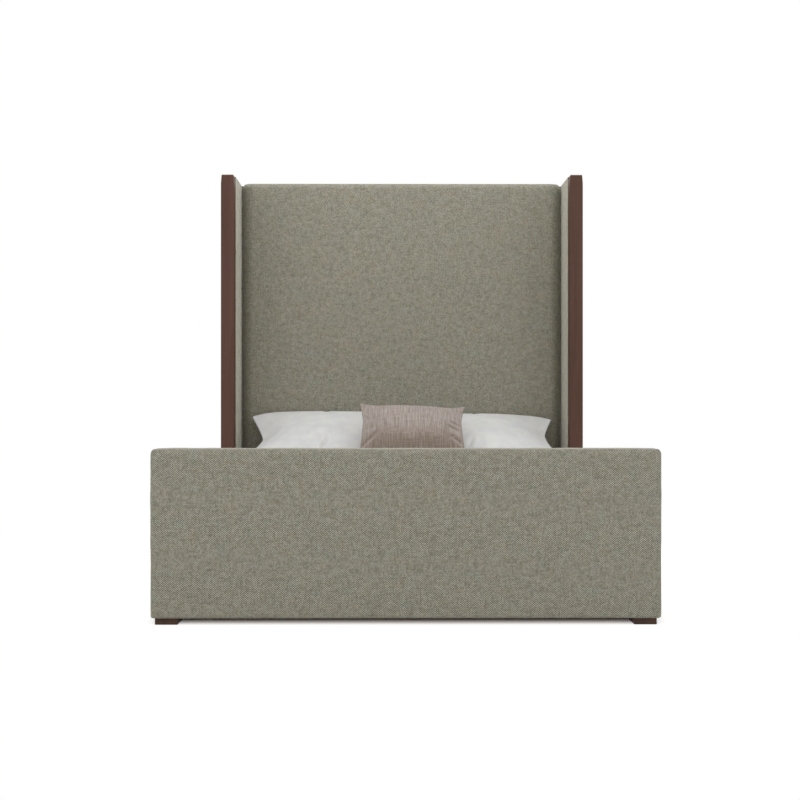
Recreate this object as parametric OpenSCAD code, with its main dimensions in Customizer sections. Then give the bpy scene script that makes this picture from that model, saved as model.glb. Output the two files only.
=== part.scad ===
// Upholstered double bed: winged headboard, panel footboard, hook-on side rails, slatted base,
// mattress, two pillows and a small lumbar cushion.
// Millimetres. +Z is up and +Y runs from the foot end to the head end.
// The origin is the centre of the footprint, on the floor.

/* [Mattress] */
// Width of the mattress
mattress_w = 1520; // [1370:10:1620]
// Length of the mattress
mattress_l = 2030; // [1900:10:2100]
// Thickness of the mattress
mattress_t = 250; // [180:5:280]
// Height of the mattress's underside above the floor
base_h = 210; // [195:5:230]
// Corner radius of the mattress in plan
mattress_r = 70; // [40:5:110]
// Free space at each end of the mattress
end_gap = 10; // [6:1:20]
// Free space between the mattress and each side rail
side_gap = 15; // [8:1:25]

/* [Headboard] */
// Height of the headboard and its wings
headboard_h = 1766; // [1300:2:1900]
// Depth of each wing, from the post's face to the back
wing_d = 420; // [320:10:480]
// Thickness of a wing, and width of its timber post
wing_t = 60; // [54:1:70]
// Depth of the timber post on the wing's front edge
post_d = 70; // [60:2:80]
// Thickness of the headboard's cushion
cushion_t = 92; // [60:2:110]
// Height of the cushion's lower edge
cushion_z0 = 250; // [230:5:300]
// Width over which the cushion rolls back to each wing
side_roll = 62; // [40:2:120]
// Radius of the cushion's top edge
top_roll = 26; // [12:2:40]
// Thickness of the headboard's timber frame
headboard_frame_t = 40; // [30:1:50]
// Width of the headboard frame's stiles
stile_w = 60; // [50:2:90]
// Height of the headboard frame's bottom rail
bottom_rail_h = 200; // [190:5:220]
// Height of the headboard frame's other rails
cross_rail_h = 70; // [50:2:100]

/* [Footboard] */
// Height of the footboard
footboard_h = 572; // [480:2:640]
// Thickness of the footboard
footboard_t = 120; // [114:2:150]
// Radius of the footboard's padded edges
edge_r = 15; // [8:1:16]
// Thickness of the planks in the footboard's frame
plank_t = 20; // [18:1:28]
// Width of the frame's end posts, which take the rail hooks
end_post_w = 45; // [38:1:60]
// Width of the block behind the centre beam's bracket
centre_block_w = 120; // [100:5:160]

/* [Side rails] */
// Thickness of an upholstered side rail
rail_t = 50; // [44:1:54]
// Height of the side rails' top edge
rail_h = 340; // [300:5:400]
// Set-back of the rail's outer face from the footboard's side
rail_inset = 5; // [2:1:8]
// Thickness of the timber board inside a rail
rail_board_t = 28; // [22:1:30]
// Width of the ledger that carries the slats
ledger_w = 40; // [34:1:50]
// Height of the ledgers
ledger_h = 45; // [30:1:60]
// Thickness of the short ledgers on the wings
wing_ledger_w = 25; // [22:1:30]

/* [Boards and padding] */
// Foam and fabric on padded faces
pad_t = 12; // [9:0.5:14]
// Fabric on unpadded faces
fabric_t = 3; // [2:0.5:4]
// Thickness of the face boards
face_board_t = 9; // [6:0.5:12]
// Thickness of the headboard's back board
back_board_t = 5; // [4:0.5:8]

/* [Feet] */
// Width of a block foot
foot_w = 75; // [60:1:90]
// Length of a block foot
foot_l = 100; // [80:1:106]
// Height of a block foot
foot_h = 21; // [14:1:30]
// Set-back of the feet from the outer faces
foot_inset = 12; // [8:1:18]
// Spacing of the two screws in a foot
foot_screw_gap = 60; // [40:2:70]

/* [Rail hooks] */
// Thickness of the steel hook and slot plates
plate_t = 3; // [2:0.5:4]
// Width of the plates
plate_w = 24; // [22:1:26]
// Height of the plates
plate_h = 140; // [132:2:160]
// Height of the plates' lower end above the floor
plate_z0 = 120; // [100:5:140]
// Thickness of a hook
hook_t = 5; // [3:0.5:6]
// Height of a hook's neck
neck_h = 12; // [10:1:13]
// How far a hook's lip drops behind the slot plate
lip_drop = 12; // [8:1:14]
// Thickness of a hook's lip
lip_t = 5; // [4:0.5:6]
// Spacing of the two hooks on a plate
hook_gap = 60; // [52:1:64]

/* [Slats] */
// Number of slats
slat_n = 13; // [9:1:15]
// Width of a slat
slat_w = 80; // [60:2:95]
// Thickness of a slat
slat_t = 18; // [14:1:22]
// Clearance at each end of a slat
slat_end_gap = 5; // [3:1:8]
// Width of the straps that space the slats
strap_w = 38; // [25:1:50]
// Thickness of the straps
strap_t = 1.5; // [1:0.5:3]
// Distance between the two straps
strap_gap = 960; // [700:10:1200]

/* [Centre beam] */
// Width of the centre beam
beam_w = 45; // [40:1:60]
// Height of the centre beam
beam_h = 70; // [50:1:76]
// Depth of the steel brackets at its ends
bracket_d = 45; // [35:1:60]
// Thickness of the brackets
bracket_t = 3; // [2:0.5:4]
// Width of a bracket's wall plate
bracket_w = 95; // [88:1:98]
// Height of a bracket
bracket_h = 55; // [40:1:60]

/* [Centre legs] */
// Radius of a leg's tube
leg_r = 16; // [14:0.5:20]
// Wall of a leg's tube
leg_wall = 1.5; // [1:0.5:2.5]
// Length of a leg's flange, along the beam
flange_l = 90; // [80:1:110]
// Height of a leg's lower end above the floor
leg_z0 = 26; // [25:1:30]
// Length of the threaded insert inside a leg
insert_l = 30; // [24:1:36]
// Radius of a glide's stud
stud_r = 4; // [3:0.5:5]
// Length of a glide's stud above its nut
stud_l = 45; // [40:1:50]
// Radius of a glide's foot
glide_r = 20; // [16:1:25]
// Height of a glide's foot
glide_h = 8; // [6:0.5:10]
// Height of a glide's nut
nut_h = 6; // [4:0.5:7]

/* [Pillows] */
// Width of a pillow
pillow_w = 708; // [600:2:720]
// Height of a pillow, seam to seam
pillow_h = 450; // [400:5:480]
// Thickness of a pillow
pillow_t = 170; // [120:5:190]
// Slope of the left-hand pillow at its upper seam
pillow_slope_left = 52; // [38:1:54]
// Slope of the right-hand pillow at its upper seam
pillow_slope_right = 44; // [38:1:54]
// Share of its width by which the left-hand pillow draws in at its sides
pull_left = 0.18; // [0.08:0.01:0.2]
// Share of its width by which the right-hand pillow draws in at its sides
pull_right = 0.12; // [0.08:0.01:0.2]
// How far a pillow's upper corners hang down
pillow_droop = 32; // [10:1:36]
// How far a pillow flattens on the mattress
pillow_sink = 22; // [10:1:26]
// How far a pillow flattens against the headboard's cushion
pillow_back_sink = 10; // [4:1:14]
// Space between the two pillows
pillow_gap = 4; // [2:1:20]
// Width of the lumbar cushion
lumbar_w = 476; // [380:2:520]
// Height of the lumbar cushion, seam to seam
lumbar_h = 295; // [240:5:330]
// Thickness of the lumbar cushion
lumbar_t = 145; // [90:5:150]
// Sideways offset of the lumbar cushion
lumbar_x = 45; // [-120:5:120]
// Distance of the lumbar cushion's lower seam from the headboard's cushion
lumbar_reach = 534; // [534:1:640]
// Tilt of the lumbar cushion's upper seam, down to the right
lumbar_tilt = 2.25; // [-4:0.25:4]
// How far the lumbar cushion's upper corners hang down
lumbar_droop = 9; // [0:1:16]
// How far the lumbar cushion flattens on the mattress
lumbar_sink = 8; // [2:1:12]

/* [Clearances] */
// Clearance round screws and bolts
screw_gap = 0.15; // [0.1:0.05:0.3]
// Clearance under and behind soft pieces
soft_gap = 0.3; // [0.2:0.1:0.6]
// Running clearance of a glide's stud in its insert
stud_gap = 0.05; // [0.03:0.01:0.08]
// Play of a hook in its slot
hook_play = 0.3; // [0.2:0.1:0.5]

/* [Hidden] */

LEFT = -1;
RIGHT = 1;
ROUND_FN = 32;
NUT_SIDES = 6;
QUARTER_TURN = 90;
ARC_STEPS = 5;
CUT = 1; // how far a cut runs past the face that it opens

// Overall size, from the mattress outwards
headboard_core_t = face_board_t + headboard_frame_t + back_board_t + fabric_t;
bed_w = mattress_w + 2 * (side_gap + rail_t + rail_inset);
bed_l = footboard_t + 2 * end_gap + mattress_l + cushion_t + headboard_core_t;
half_w = bed_w / 2;

// Stations along Y
y_front = -bed_l / 2;
y_inner = y_front + footboard_t;              // footboard's face towards the mattress
y_mattress = y_inner + end_gap;
y_cushion = y_mattress + mattress_l + end_gap; // front of the headboard's cushion
y_base = y_cushion + cushion_t;                // front board that the cushion is glued to
y_frame = y_base + face_board_t;
y_back = bed_l / 2;
y_wing = y_back - wing_d;                      // front face of the posts
y_post_back = y_wing + post_d;

// Stations along X, on the right-hand side
x_wing = half_w - wing_t;                      // wing's inner face
x_rail_out = half_w - rail_inset;
x_rail_in = x_rail_out - rail_t;
rail_pad_t = (rail_t - rail_board_t) / 2;
x_board_in = x_rail_in + rail_pad_t;
x_board_out = x_rail_out - rail_pad_t;
x_hook = (x_rail_in + x_rail_out) / 2;
x_foot_screw = half_w - wing_t / 2;

// Heights
mattress_top = base_h + mattress_t;
slat_top = base_h - strap_t;
slat_z0 = slat_top - slat_t;
ledger_z0 = slat_z0 - ledger_h;
beam_z0 = slat_z0 - beam_h;
pad_z0 = base_h + 4;                           // lower edge of the rail's inner padding

// Screws: shank radius and head recess
foot_screw_r = 2.5;
foot_screw_recess = 5;
foot_screw_l = foot_h - foot_screw_recess + 0.8 * plank_t;
plate_screw_r = 2;
plate_screw_l = 26;
plate_screw_edge = 9;
ledger_screw_r = 2.5;
ledger_screw_n = 6;
wing_ledger_screw_n = 2;
ledger_screw_margin = 90;
bracket_screw_r = 2.25;
bracket_screw_l = 28;
leg_screw_r = 2;
leg_screw_l = 24;

bolt_r = 4;
bolt_head_r = 6.5;
bolt_head_h = 8;
bolt_socket_r = 3.4;
bolt_grip = 0.75;                              // share of the wing's board that a bolt bites into
wing_board_t = wing_t - 2 * pad_t;

post_chamfer = 2;
post_top_taper = 5;
post_top_taper_h = 40;
post_top_taper_in = 3.5;

// Arc from angle a0 to a1, as points
function arc(cx, cy, r, a0, a1) =
    [for (i = [0 : ARC_STEPS]) let (a = a0 + (a1 - a0) * i / ARC_STEPS) [cx + r * cos(a), cy + r * sin(a)]];

// Rectangle with its own radius at each corner: lower left, lower right, upper right, upper left
function round_rect(x0, y0, x1, y1, r) = concat(
    r[0] > 0 ? arc(x0 + r[0], y0 + r[0], r[0], 180, 270) : [[x0, y0]],
    r[1] > 0 ? arc(x1 - r[1], y0 + r[1], r[1], 270, 360) : [[x1, y0]],
    r[2] > 0 ? arc(x1 - r[2], y1 - r[2], r[2], 0, 90) : [[x1, y1]],
    r[3] > 0 ? arc(x0 + r[3], y1 - r[3], r[3], 90, 180) : [[x0, y1]]
);

// Box between two corners
module block(x0, x1, y0, y1, z0, z1) {
    translate([x0, y0, z0]) cube([x1 - x0, y1 - y0, z1 - z0]);
}

// Profile drawn in Y and Z, pushed out along X
module along_x(x0, x1) {
    translate([x0, 0, 0]) rotate([90, 0, 90]) linear_extrude(x1 - x0) children();
}

// Profile drawn in X and Z, pushed out along Y
module along_y(y0, y1) {
    translate([0, y1, 0]) rotate([90, 0, 0]) linear_extrude(y1 - y0) children();
}

// Right-hand piece as drawn, or its mirror image on the left
module on_side(side) {
    if (side == LEFT) mirror([1, 0, 0]) children();
    else children();
}

module on_both_sides() {
    for (side = [LEFT, RIGHT]) on_side(side) children();
}

// Countersunk wood screw, head at the origin, pointing along +Z
module wood_screw(r, l) {
    rotate_extrude($fn = ROUND_FN)
        polygon([[0, 0], [2 * r, 0], [r, r], [r, l - 2 * r], [0, l]]);
}

// Hole that a wood screw fits, with its countersink
module screw_hole(r, l) {
    rotate_extrude($fn = ROUND_FN)
        polygon([[0, -CUT], [2 * r + screw_gap, -CUT], [2 * r + screw_gap, 0], [r + screw_gap, r],
                 [r + screw_gap, l + CUT], [0, l + CUT]]);
}

// Feet

// Where the six block feet stand on the right: the front edge of each
function foot_stations() = [y_front + foot_inset, y_wing + foot_inset, y_back - foot_inset - foot_l];

module at_foot_screws(y) {
    for (dy = [-1, 1])
        translate([x_foot_screw, y + foot_l / 2 + dy * foot_screw_gap / 2, foot_screw_recess]) children();
}

module foot_screw_holes() {
    on_both_sides() for (y = foot_stations()) at_foot_screws(y) screw_hole(foot_screw_r, foot_screw_l);
}

module block_foot(side, y) {
    edge = 2;
    x1 = half_w - foot_inset;
    x0 = x1 - foot_w;
    color("#452c25") on_side(side) difference() {
        intersection() {
            along_y(y, y + foot_l)
                polygon([[x0 + edge, 0], [x1 - edge, 0], [x1, edge], [x1, foot_h], [x0, foot_h], [x0, edge]]);
            along_x(x0, x1)
                polygon([[y + edge, 0], [y + foot_l - edge, 0], [y + foot_l, edge],
                         [y + foot_l, foot_h], [y, foot_h], [y, edge]]);
        }
        at_foot_screws(y) {
            screw_hole(foot_screw_r, foot_screw_l);
            translate([0, 0, -foot_screw_recess - CUT])
                cylinder(r = 2 * foot_screw_r + CUT, h = foot_screw_recess + CUT, $fn = ROUND_FN);
        }
    }
}

module foot_screws() {
    color("silver") on_both_sides() for (y = foot_stations())
        at_foot_screws(y) wood_screw(foot_screw_r, foot_screw_l);
}

// Rail hooks: each joint is drawn with the rail's end at y = 0 and the part that takes it at y > 0

hook_z = [plate_z0 + plate_h / 2 - hook_gap / 2, plate_z0 + plate_h / 2 + hook_gap / 2];
hook_h = neck_h + lip_drop;
hook_reach = plate_t + hook_play + lip_t;
slot_w = hook_t + 2 * hook_play;
slot_top_play = 1;
pocket_w = hook_t + 6;                         // room behind the slot plate for the lips
pocket_end = 3;
plate_screw_z = [plate_z0 + plate_screw_edge, plate_z0 + plate_h - plate_screw_edge];

// The four places where a rail meets a post or the footboard
module at_rail_ends() {
    on_both_sides() {
        translate([x_hook, y_wing, 0]) children();
        translate([x_hook, y_inner, 0]) mirror([0, 1, 0]) children();
    }
}

// Screw holes in a plate; turn 90 sends them into the rail, and -90 into what takes it
module plate_screw_holes(turn) {
    for (z = plate_screw_z)
        translate([0, 0, z]) rotate([turn, 0, 0]) screw_hole(plate_screw_r, plate_screw_l);
}

// The hook plate, let into the rail's end, with two hooks that drop behind the slot plate
module hook_plate() {
    bevel = lip_t / 2;
    back = -plate_t / 2;
    behind = plate_t + hook_play; // where the lip starts, just behind the slot plate
    difference() {
        union() {
            block(-plate_w / 2, plate_w / 2, -plate_t, 0, plate_z0, plate_z0 + plate_h);
            for (z = hook_z) along_x(-hook_t / 2, hook_t / 2)
                polygon([[back, z], [behind, z], [behind, z - lip_drop + bevel],
                         [behind + bevel, z - lip_drop], [hook_reach, z - lip_drop],
                         [hook_reach, z + neck_h - bevel], [hook_reach - bevel, z + neck_h],
                         [back, z + neck_h]]);
        }
        plate_screw_holes(90);
    }
}

// The slot plate: a hook goes in level, then drops until its neck rests on the slot's lower end
module slot_plate() {
    difference() {
        block(-plate_w / 2, plate_w / 2, 0, plate_t, plate_z0, plate_z0 + plate_h);
        for (z = hook_z)
            block(-slot_w / 2, slot_w / 2, -CUT, plate_t + CUT, z, z + hook_h + slot_top_play);
        plate_screw_holes(-90);
    }
}

module plate_screw_pair() {
    for (z = plate_screw_z) translate([0, 0, z]) {
        rotate([90, 0, 0]) wood_screw(plate_screw_r, plate_screw_l);
        rotate([-90, 0, 0]) wood_screw(plate_screw_r, plate_screw_l);
    }
}

// What the joint takes out of the rail's board
module hook_plate_recess() {
    block(-plate_w / 2, plate_w / 2, -plate_t, CUT, plate_z0, plate_z0 + plate_h);
    plate_screw_holes(90);
}

// What the joint takes out of the post, or of the footboard
module slot_plate_recess() {
    block(-plate_w / 2, plate_w / 2, -CUT, plate_t, plate_z0, plate_z0 + plate_h);
    block(-pocket_w / 2, pocket_w / 2, 0, hook_reach + pocket_end,
          hook_z[0] - lip_drop - pocket_end, hook_z[1] + hook_h + pocket_end);
    plate_screw_holes(-90);
}

module rail_hook_plates() {
    color("#8f9396") at_rail_ends() hook_plate();
}

module rail_slot_plates() {
    color("#a3a7aa") at_rail_ends() slot_plate();
}

module plate_screws() {
    color("silver") at_rail_ends() plate_screw_pair();
}

// Footboard

// A padded block with all its outer edges rounded
module footboard_body() {
    r4 = [edge_r, edge_r, edge_r, edge_r];
    bottom_r = edge_r / 2;
    intersection() {
        along_y(y_front, y_inner)
            polygon(round_rect(-half_w, foot_h, half_w, footboard_h, [bottom_r, bottom_r, edge_r, edge_r]));
        along_x(-half_w, half_w)
            polygon(round_rect(y_front, foot_h, y_inner, footboard_h, [bottom_r, fabric_t, edge_r, edge_r]));
        translate([0, 0, foot_h]) linear_extrude(footboard_h - foot_h)
            polygon(round_rect(-half_w, y_front, half_w, y_inner, r4));
    }
}

footboard_core_x = half_w - pad_t;
footboard_core_top = footboard_h - pad_t;
y_ply_front = y_front + pad_t;
y_planks = y_ply_front + face_board_t;
y_ply_back = y_inner - fabric_t - face_board_t;

// Timber core: end posts that take the hooks, ribs, and a block that takes the beam's bracket
module footboard_posts() {
    post_x = footboard_core_x - end_post_w;
    rib_x = (post_x + centre_block_w / 2) / 2;
    module upright(x0, x1) {
        block(x0, x1, y_planks, y_ply_back, foot_h + plank_t, footboard_core_top - plank_t);
    }
    color("burlywood") difference() {
        union() {
            on_both_sides() {
                upright(post_x, footboard_core_x);
                upright(rib_x - plank_t / 2, rib_x + plank_t / 2);
            }
            upright(-centre_block_w / 2, centre_block_w / 2);
        }
        at_rail_ends() slot_plate_recess();
        at_brackets() bracket_screw_holes();
    }
}

// The planks across the bottom and the top of the core
module footboard_planks() {
    color("burlywood") difference() {
        for (z = [foot_h, footboard_core_top - plank_t])
            block(-footboard_core_x, footboard_core_x, y_planks, y_ply_back, z, z + plank_t);
        foot_screw_holes();
    }
}

module footboard_front_board() {
    color("tan")
        block(-footboard_core_x, footboard_core_x, y_ply_front, y_planks, foot_h, footboard_core_top);
}

module footboard_back_board() {
    color("tan") difference() {
        block(-footboard_core_x, footboard_core_x, y_ply_back, y_inner - fabric_t,
              foot_h, footboard_core_top);
        at_rail_ends() slot_plate_recess();
        at_brackets() bracket_screw_holes();
    }
}

// Foam and fabric sleeve, pulled over the core from above and open underneath
module footboard_cover() {
    color("#86836f") difference() {
        footboard_body();
        block(-footboard_core_x, footboard_core_x, y_ply_front, y_inner - fabric_t,
              foot_h - CUT, footboard_core_top);
        at_rail_ends() slot_plate_recess();
        at_brackets() bracket_screw_holes();
    }
}

// Headboard

headboard_core_top = headboard_h - pad_t;
middle_rail_n = 3;
top_edge_r = pad_t * 0.7;                      // rounding of the thin pads over the top edges

// Heights of the middle rails, evenly spread between the bottom and the top rail
function middle_rails() =
    let (z0 = foot_h + bottom_rail_h, z1 = headboard_core_top - cross_rail_h, n = middle_rail_n)
    [for (i = [1 : n]) z0 + (z1 - z0) * i / (n + 1) - cross_rail_h / 2];

// Heights of the four bolts in each wing, clear of the rails
function bolt_heights() =
    let (m = middle_rails(), half = cross_rail_h / 2, z0 = foot_h + bottom_rail_h)
    [(z0 + m[0]) / 2, (m[0] + m[1]) / 2 + half, (m[1] + m[2]) / 2 + half,
     (m[2] + headboard_core_top) / 2];

bolt_y = y_frame + headboard_frame_t / 2;
bolt_l = stile_w + pad_t + bolt_grip * wing_board_t;

module at_bolts() {
    on_both_sides() for (z = bolt_heights())
        translate([x_wing - stile_w, bolt_y, z]) rotate([0, 90, 0]) children();
}

module bolt_holes() {
    at_bolts() cylinder(r = bolt_r + screw_gap, h = bolt_l + CUT, $fn = ROUND_FN);
}

// Socket-head bolts that pull the wings against the headboard, from inside its frame
module wing_bolts() {
    color("silver") at_bolts() difference() {
        union() {
            cylinder(r = bolt_r, h = bolt_l, $fn = ROUND_FN);
            translate([0, 0, -bolt_head_h]) cylinder(r = bolt_head_r, h = bolt_head_h, $fn = ROUND_FN);
        }
        translate([0, 0, -bolt_head_h - CUT])
            cylinder(r = bolt_socket_r, h = bolt_head_h / 2 + CUT, $fn = NUT_SIDES);
    }
}

// Timber ladder frame: two stiles, with a deep bottom rail, three middle rails and a top rail between them
module headboard_stiles() {
    color("burlywood") difference() {
        on_both_sides() block(x_wing - stile_w, x_wing, y_frame, y_frame + headboard_frame_t,
                              foot_h, headboard_core_top);
        bolt_holes();
    }
}

module headboard_rails() {
    x1 = x_wing - stile_w;
    y1 = y_frame + headboard_frame_t;
    color("burlywood") difference() {
        union() {
            block(-x1, x1, y_frame, y1, foot_h, foot_h + bottom_rail_h);
            for (z = concat(middle_rails(), [headboard_core_top - cross_rail_h]))
                block(-x1, x1, y_frame, y1, z, z + cross_rail_h);
        }
        at_brackets() bracket_screw_holes();
    }
}

module headboard_front_board() {
    color("tan") difference() {
        block(-x_wing, x_wing, y_base, y_frame, foot_h, headboard_core_top);
        at_brackets() bracket_screw_holes();
    }
}

module headboard_back_board() {
    y0 = y_frame + headboard_frame_t;
    color("tan") block(-x_wing, x_wing, y0, y0 + back_board_t, foot_h, headboard_core_top);
}

// Fabric down the back, and a padded strip over the top edge
module headboard_back_cover() {
    y0 = y_back - fabric_t;
    color("#86836f") along_x(-x_wing, x_wing)
        polygon(concat([[y_base, headboard_core_top], [y0, headboard_core_top],
                        [y0, foot_h], [y_back, foot_h]],
                       arc(y_back - top_edge_r, headboard_h - top_edge_r, top_edge_r, 0, 90),
                       [[y_base, headboard_h]]));
}

// Ring of points for a rounded rectangle centred on the origin, counter-clockwise
function ring(w, h, r, n) =
    [for (k = [0 : 3], i = [0 : n])
        let (a = QUARTER_TURN * (k + i / n), sx = k % 3 == 0 ? 1 : -1, sy = k < 2 ? 1 : -1)
        [sx * (w / 2 - r) + r * cos(a), sy * (h / 2 - r) + r * sin(a)]];

// Closed solid through rings of equal count, from the lowest to the highest, capped at both ends
module ring_solid(rings, low, high) {
    m = len(rings[0]);
    k = len(rings);
    sides = [for (j = [0 : k - 2], i = [0 : m - 1])
        let (a = j * m + i, b = j * m + (i + 1) % m, c = b + m, d = a + m)
        each [[a, c, b], [a, d, c]]];
    low_fan = [for (i = [0 : m - 1]) [k * m, i, (i + 1) % m]];
    high_fan = [for (i = [0 : m - 1]) [k * m + 1, (k - 1) * m + (i + 1) % m, (k - 1) * m + i]];
    polyhedron(concat([for (q = rings) each q], [low, high]), concat(sides, low_fan, high_fan),
               convexity = 4);
}

// Headboard cushion: rolls back to the wings, and over the top on a tighter curve
module headboard_cushion() {
    corner_r = 26;
    edge_t = 10; // thickness that is left at the wings
    arc_n = 8;
    corner_n = 4;
    w = 2 * (x_wing - soft_gap);
    h = headboard_h - cushion_z0;
    // How far the outline has come in at depth d, on a roll of that width that starts at depth d0
    function roll_in(d, d0, roll) =
        let (e = max(0, (d - d0) / (cushion_t - d0))) roll * (1 - sqrt(max(0, 1 - e * e)));
    function outline(d) =
        ring(w - 2 * roll_in(d, edge_t, side_roll), h - 2 * roll_in(d, cushion_t - top_roll, top_roll),
             corner_r, corner_n);
    depths = concat([0, edge_t],
                    [for (i = [1 : arc_n]) edge_t + (cushion_t - edge_t) * sin(QUARTER_TURN * i / arc_n)]);
    roll = [for (d = depths) [for (p = outline(d)) [p[0], p[1], d]]];
    color("#86836f") translate([0, y_base, cushion_z0 + h / 2]) rotate([90, 0, 0])
        ring_solid(roll, [0, 0, 0], [0, 0, cushion_t]);
}

// Wings

module wing_board(side) {
    color("burlywood") difference() {
        on_side(side)
            block(x_wing + pad_t, half_w - pad_t, y_post_back, y_back - pad_t, foot_h, headboard_core_top);
        bolt_holes();
        foot_screw_holes();
        ledger_screw_holes();
    }
}

// Foam and fabric round the wing's board: inner face, top, back and outer face
module wing_cover(side) {
    groove = 3; // where the cover is tucked in behind the post
    seam_r = 3; // along the inner top edge, where the cover is sewn
    color("#86836f") difference() {
        on_side(side) difference() {
            intersection() {
                along_y(y_post_back, y_back)
                    polygon(round_rect(x_wing, foot_h, half_w, headboard_h, [0, 0, top_edge_r, seam_r]));
                translate([0, 0, foot_h]) linear_extrude(headboard_h - foot_h)
                    polygon(round_rect(x_wing, y_post_back, half_w, y_back, [groove, groove, top_edge_r, 0]));
            }
            block(x_wing + pad_t, half_w - pad_t, y_post_back - CUT, y_back - pad_t,
                  foot_h - CUT, headboard_core_top);
        }
        bolt_holes();
        ledger_screw_holes();
    }
}

// Solid timber post on the wing's front edge, with eased edges and a slightly tapered top
module wing_post(side) {
    c = post_chamfer;
    t = post_top_taper_in;
    e = 1; // easing of the top edges
    z = headboard_h - post_top_taper_h;
    color("#6a4a3e") difference() {
        on_side(side) intersection() {
            translate([0, 0, foot_h]) linear_extrude(headboard_h - foot_h)
                polygon([[x_wing + c, y_wing], [half_w - c, y_wing], [half_w, y_wing + c],
                         [half_w, y_post_back - c], [half_w - c, y_post_back],
                         [x_wing + c, y_post_back], [x_wing, y_post_back - c], [x_wing, y_wing + c]]);
            along_y(y_wing, y_post_back)
                polygon([[x_wing, foot_h], [half_w, foot_h], [half_w, z], [half_w - t, headboard_h - e],
                         [half_w - t - e, headboard_h], [x_wing + t + e, headboard_h],
                         [x_wing + t, headboard_h - e], [x_wing, z]]);
            along_x(x_wing, half_w)
                polygon([[y_wing, foot_h], [y_post_back, foot_h], [y_post_back, headboard_h],
                         [y_wing + post_top_taper, headboard_h], [y_wing, headboard_h - post_top_taper]]);
        }
        at_rail_ends() slot_plate_recess();
        foot_screw_holes();
    }
}

// Side rails

// Timber board inside the rail
module rail_board(side) {
    color("burlywood") difference() {
        on_side(side)
            block(x_board_in, x_board_out, y_inner, y_wing, foot_h + fabric_t, rail_h - rail_pad_t);
        at_rail_ends() hook_plate_recess();
        ledger_screw_holes();
    }
}

// Padding over the outer face and the top, and down the inner face to just above the slats
module rail_cover(side) {
    r = rail_pad_t * 0.8;
    color("#86836f") difference() {
        on_side(side) difference() {
            along_y(y_inner, y_wing)
                polygon(round_rect(x_rail_in, foot_h, x_rail_out, rail_h, [0, fabric_t, r, r]));
            block(x_board_in, x_board_out, y_inner - CUT, y_wing + CUT,
                  foot_h + fabric_t, rail_h - rail_pad_t);
            block(x_rail_in - CUT, x_board_in, y_inner - CUT, y_wing + CUT, foot_h - CUT, pad_z0);
        }
        at_rail_ends() hook_plate_recess();
    }
}

// Ledgers

ledger_end_gap = 6;
ledger_y0 = y_inner + ledger_end_gap;
ledger_y1 = y_wing - ledger_end_gap;
wing_ledger_y0 = y_post_back;
wing_ledger_y1 = y_base - ledger_end_gap;
ledger_z = ledger_z0 + ledger_h / 2;
rail_ledger_screw_l = ledger_w + 0.7 * rail_board_t;
wing_ledger_screw_l = wing_ledger_w + pad_t + 0.5 * wing_board_t;

// Screws run outwards along X, from the ledger's free face
module at_ledger_screws(x, y0, y1, n, margin) {
    pitch = (y1 - y0 - 2 * margin) / (n - 1);
    for (i = [0 : n - 1])
        translate([x, y0 + margin + i * pitch, ledger_z]) rotate([0, 90, 0]) children();
}

// The first child goes where the rails' screws are, and the second where the wings' screws are
module ledger_screw_set() {
    on_both_sides() {
        at_ledger_screws(x_board_in - ledger_w, ledger_y0, ledger_y1, ledger_screw_n, ledger_screw_margin)
            children(0);
        at_ledger_screws(x_wing - wing_ledger_w, wing_ledger_y0, wing_ledger_y1,
                         wing_ledger_screw_n, ledger_screw_margin / 2)
            children(1);
    }
}

module ledger_screw_holes() {
    ledger_screw_set() {
        screw_hole(ledger_screw_r, rail_ledger_screw_l);
        screw_hole(ledger_screw_r, wing_ledger_screw_l);
    }
}

module ledger_screws() {
    color("silver") ledger_screw_set() {
        wood_screw(ledger_screw_r, rail_ledger_screw_l);
        wood_screw(ledger_screw_r, wing_ledger_screw_l);
    }
}

module ledger(side) {
    color("wheat") difference() {
        on_side(side)
            block(x_board_in - ledger_w, x_board_in, ledger_y0, ledger_y1, ledger_z0, slat_z0);
        ledger_screw_holes();
    }
}

module wing_ledger(side) {
    color("wheat") difference() {
        on_side(side)
            block(x_wing - wing_ledger_w, x_wing, wing_ledger_y0, wing_ledger_y1, ledger_z0, slat_z0);
        ledger_screw_holes();
    }
}

// Slats and straps

slat_margin = 10;
slat_y0 = y_mattress + slat_margin;
slat_y1 = y_mattress + mattress_l - slat_margin;
slat_x = x_wing - slat_end_gap;

module slats() {
    r = 4; // rounding of a slat's long edges
    pitch = (slat_y1 - slat_y0 - slat_w) / (slat_n - 1);
    color("wheat") for (i = [0 : slat_n - 1])
        translate([0, slat_y0 + i * pitch, 0]) along_x(-slat_x, slat_x)
            polygon(round_rect(0, slat_z0, slat_w, slat_top, [r, r, r, r]));
}

module slat_straps() {
    color("ivory") on_both_sides()
        block((strap_gap - strap_w) / 2, (strap_gap + strap_w) / 2, slat_y0, slat_y1, slat_top, base_h);
}

// Centre beam and its brackets

beam_play = 0.3;
beam_end_gap = 2;

// The two walls that hold the beam: each bracket is drawn with its wall at y = 0 and the beam at y > 0
module at_brackets() {
    translate([0, y_inner, 0]) children();
    translate([0, y_base, 0]) mirror([0, 1, 0]) children();
}

module at_bracket_screws() {
    edge_x = 9;
    edge_z = 12;
    for (x = [-1, 1], z = [beam_z0 - bracket_t + edge_z, beam_z0 - bracket_t + bracket_h - edge_z])
        translate([x * (bracket_w / 2 - edge_x), bracket_t, z]) rotate([90, 0, 0]) children();
}

module bracket_screw_holes() {
    at_bracket_screws() screw_hole(bracket_screw_r, bracket_screw_l);
}

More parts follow.
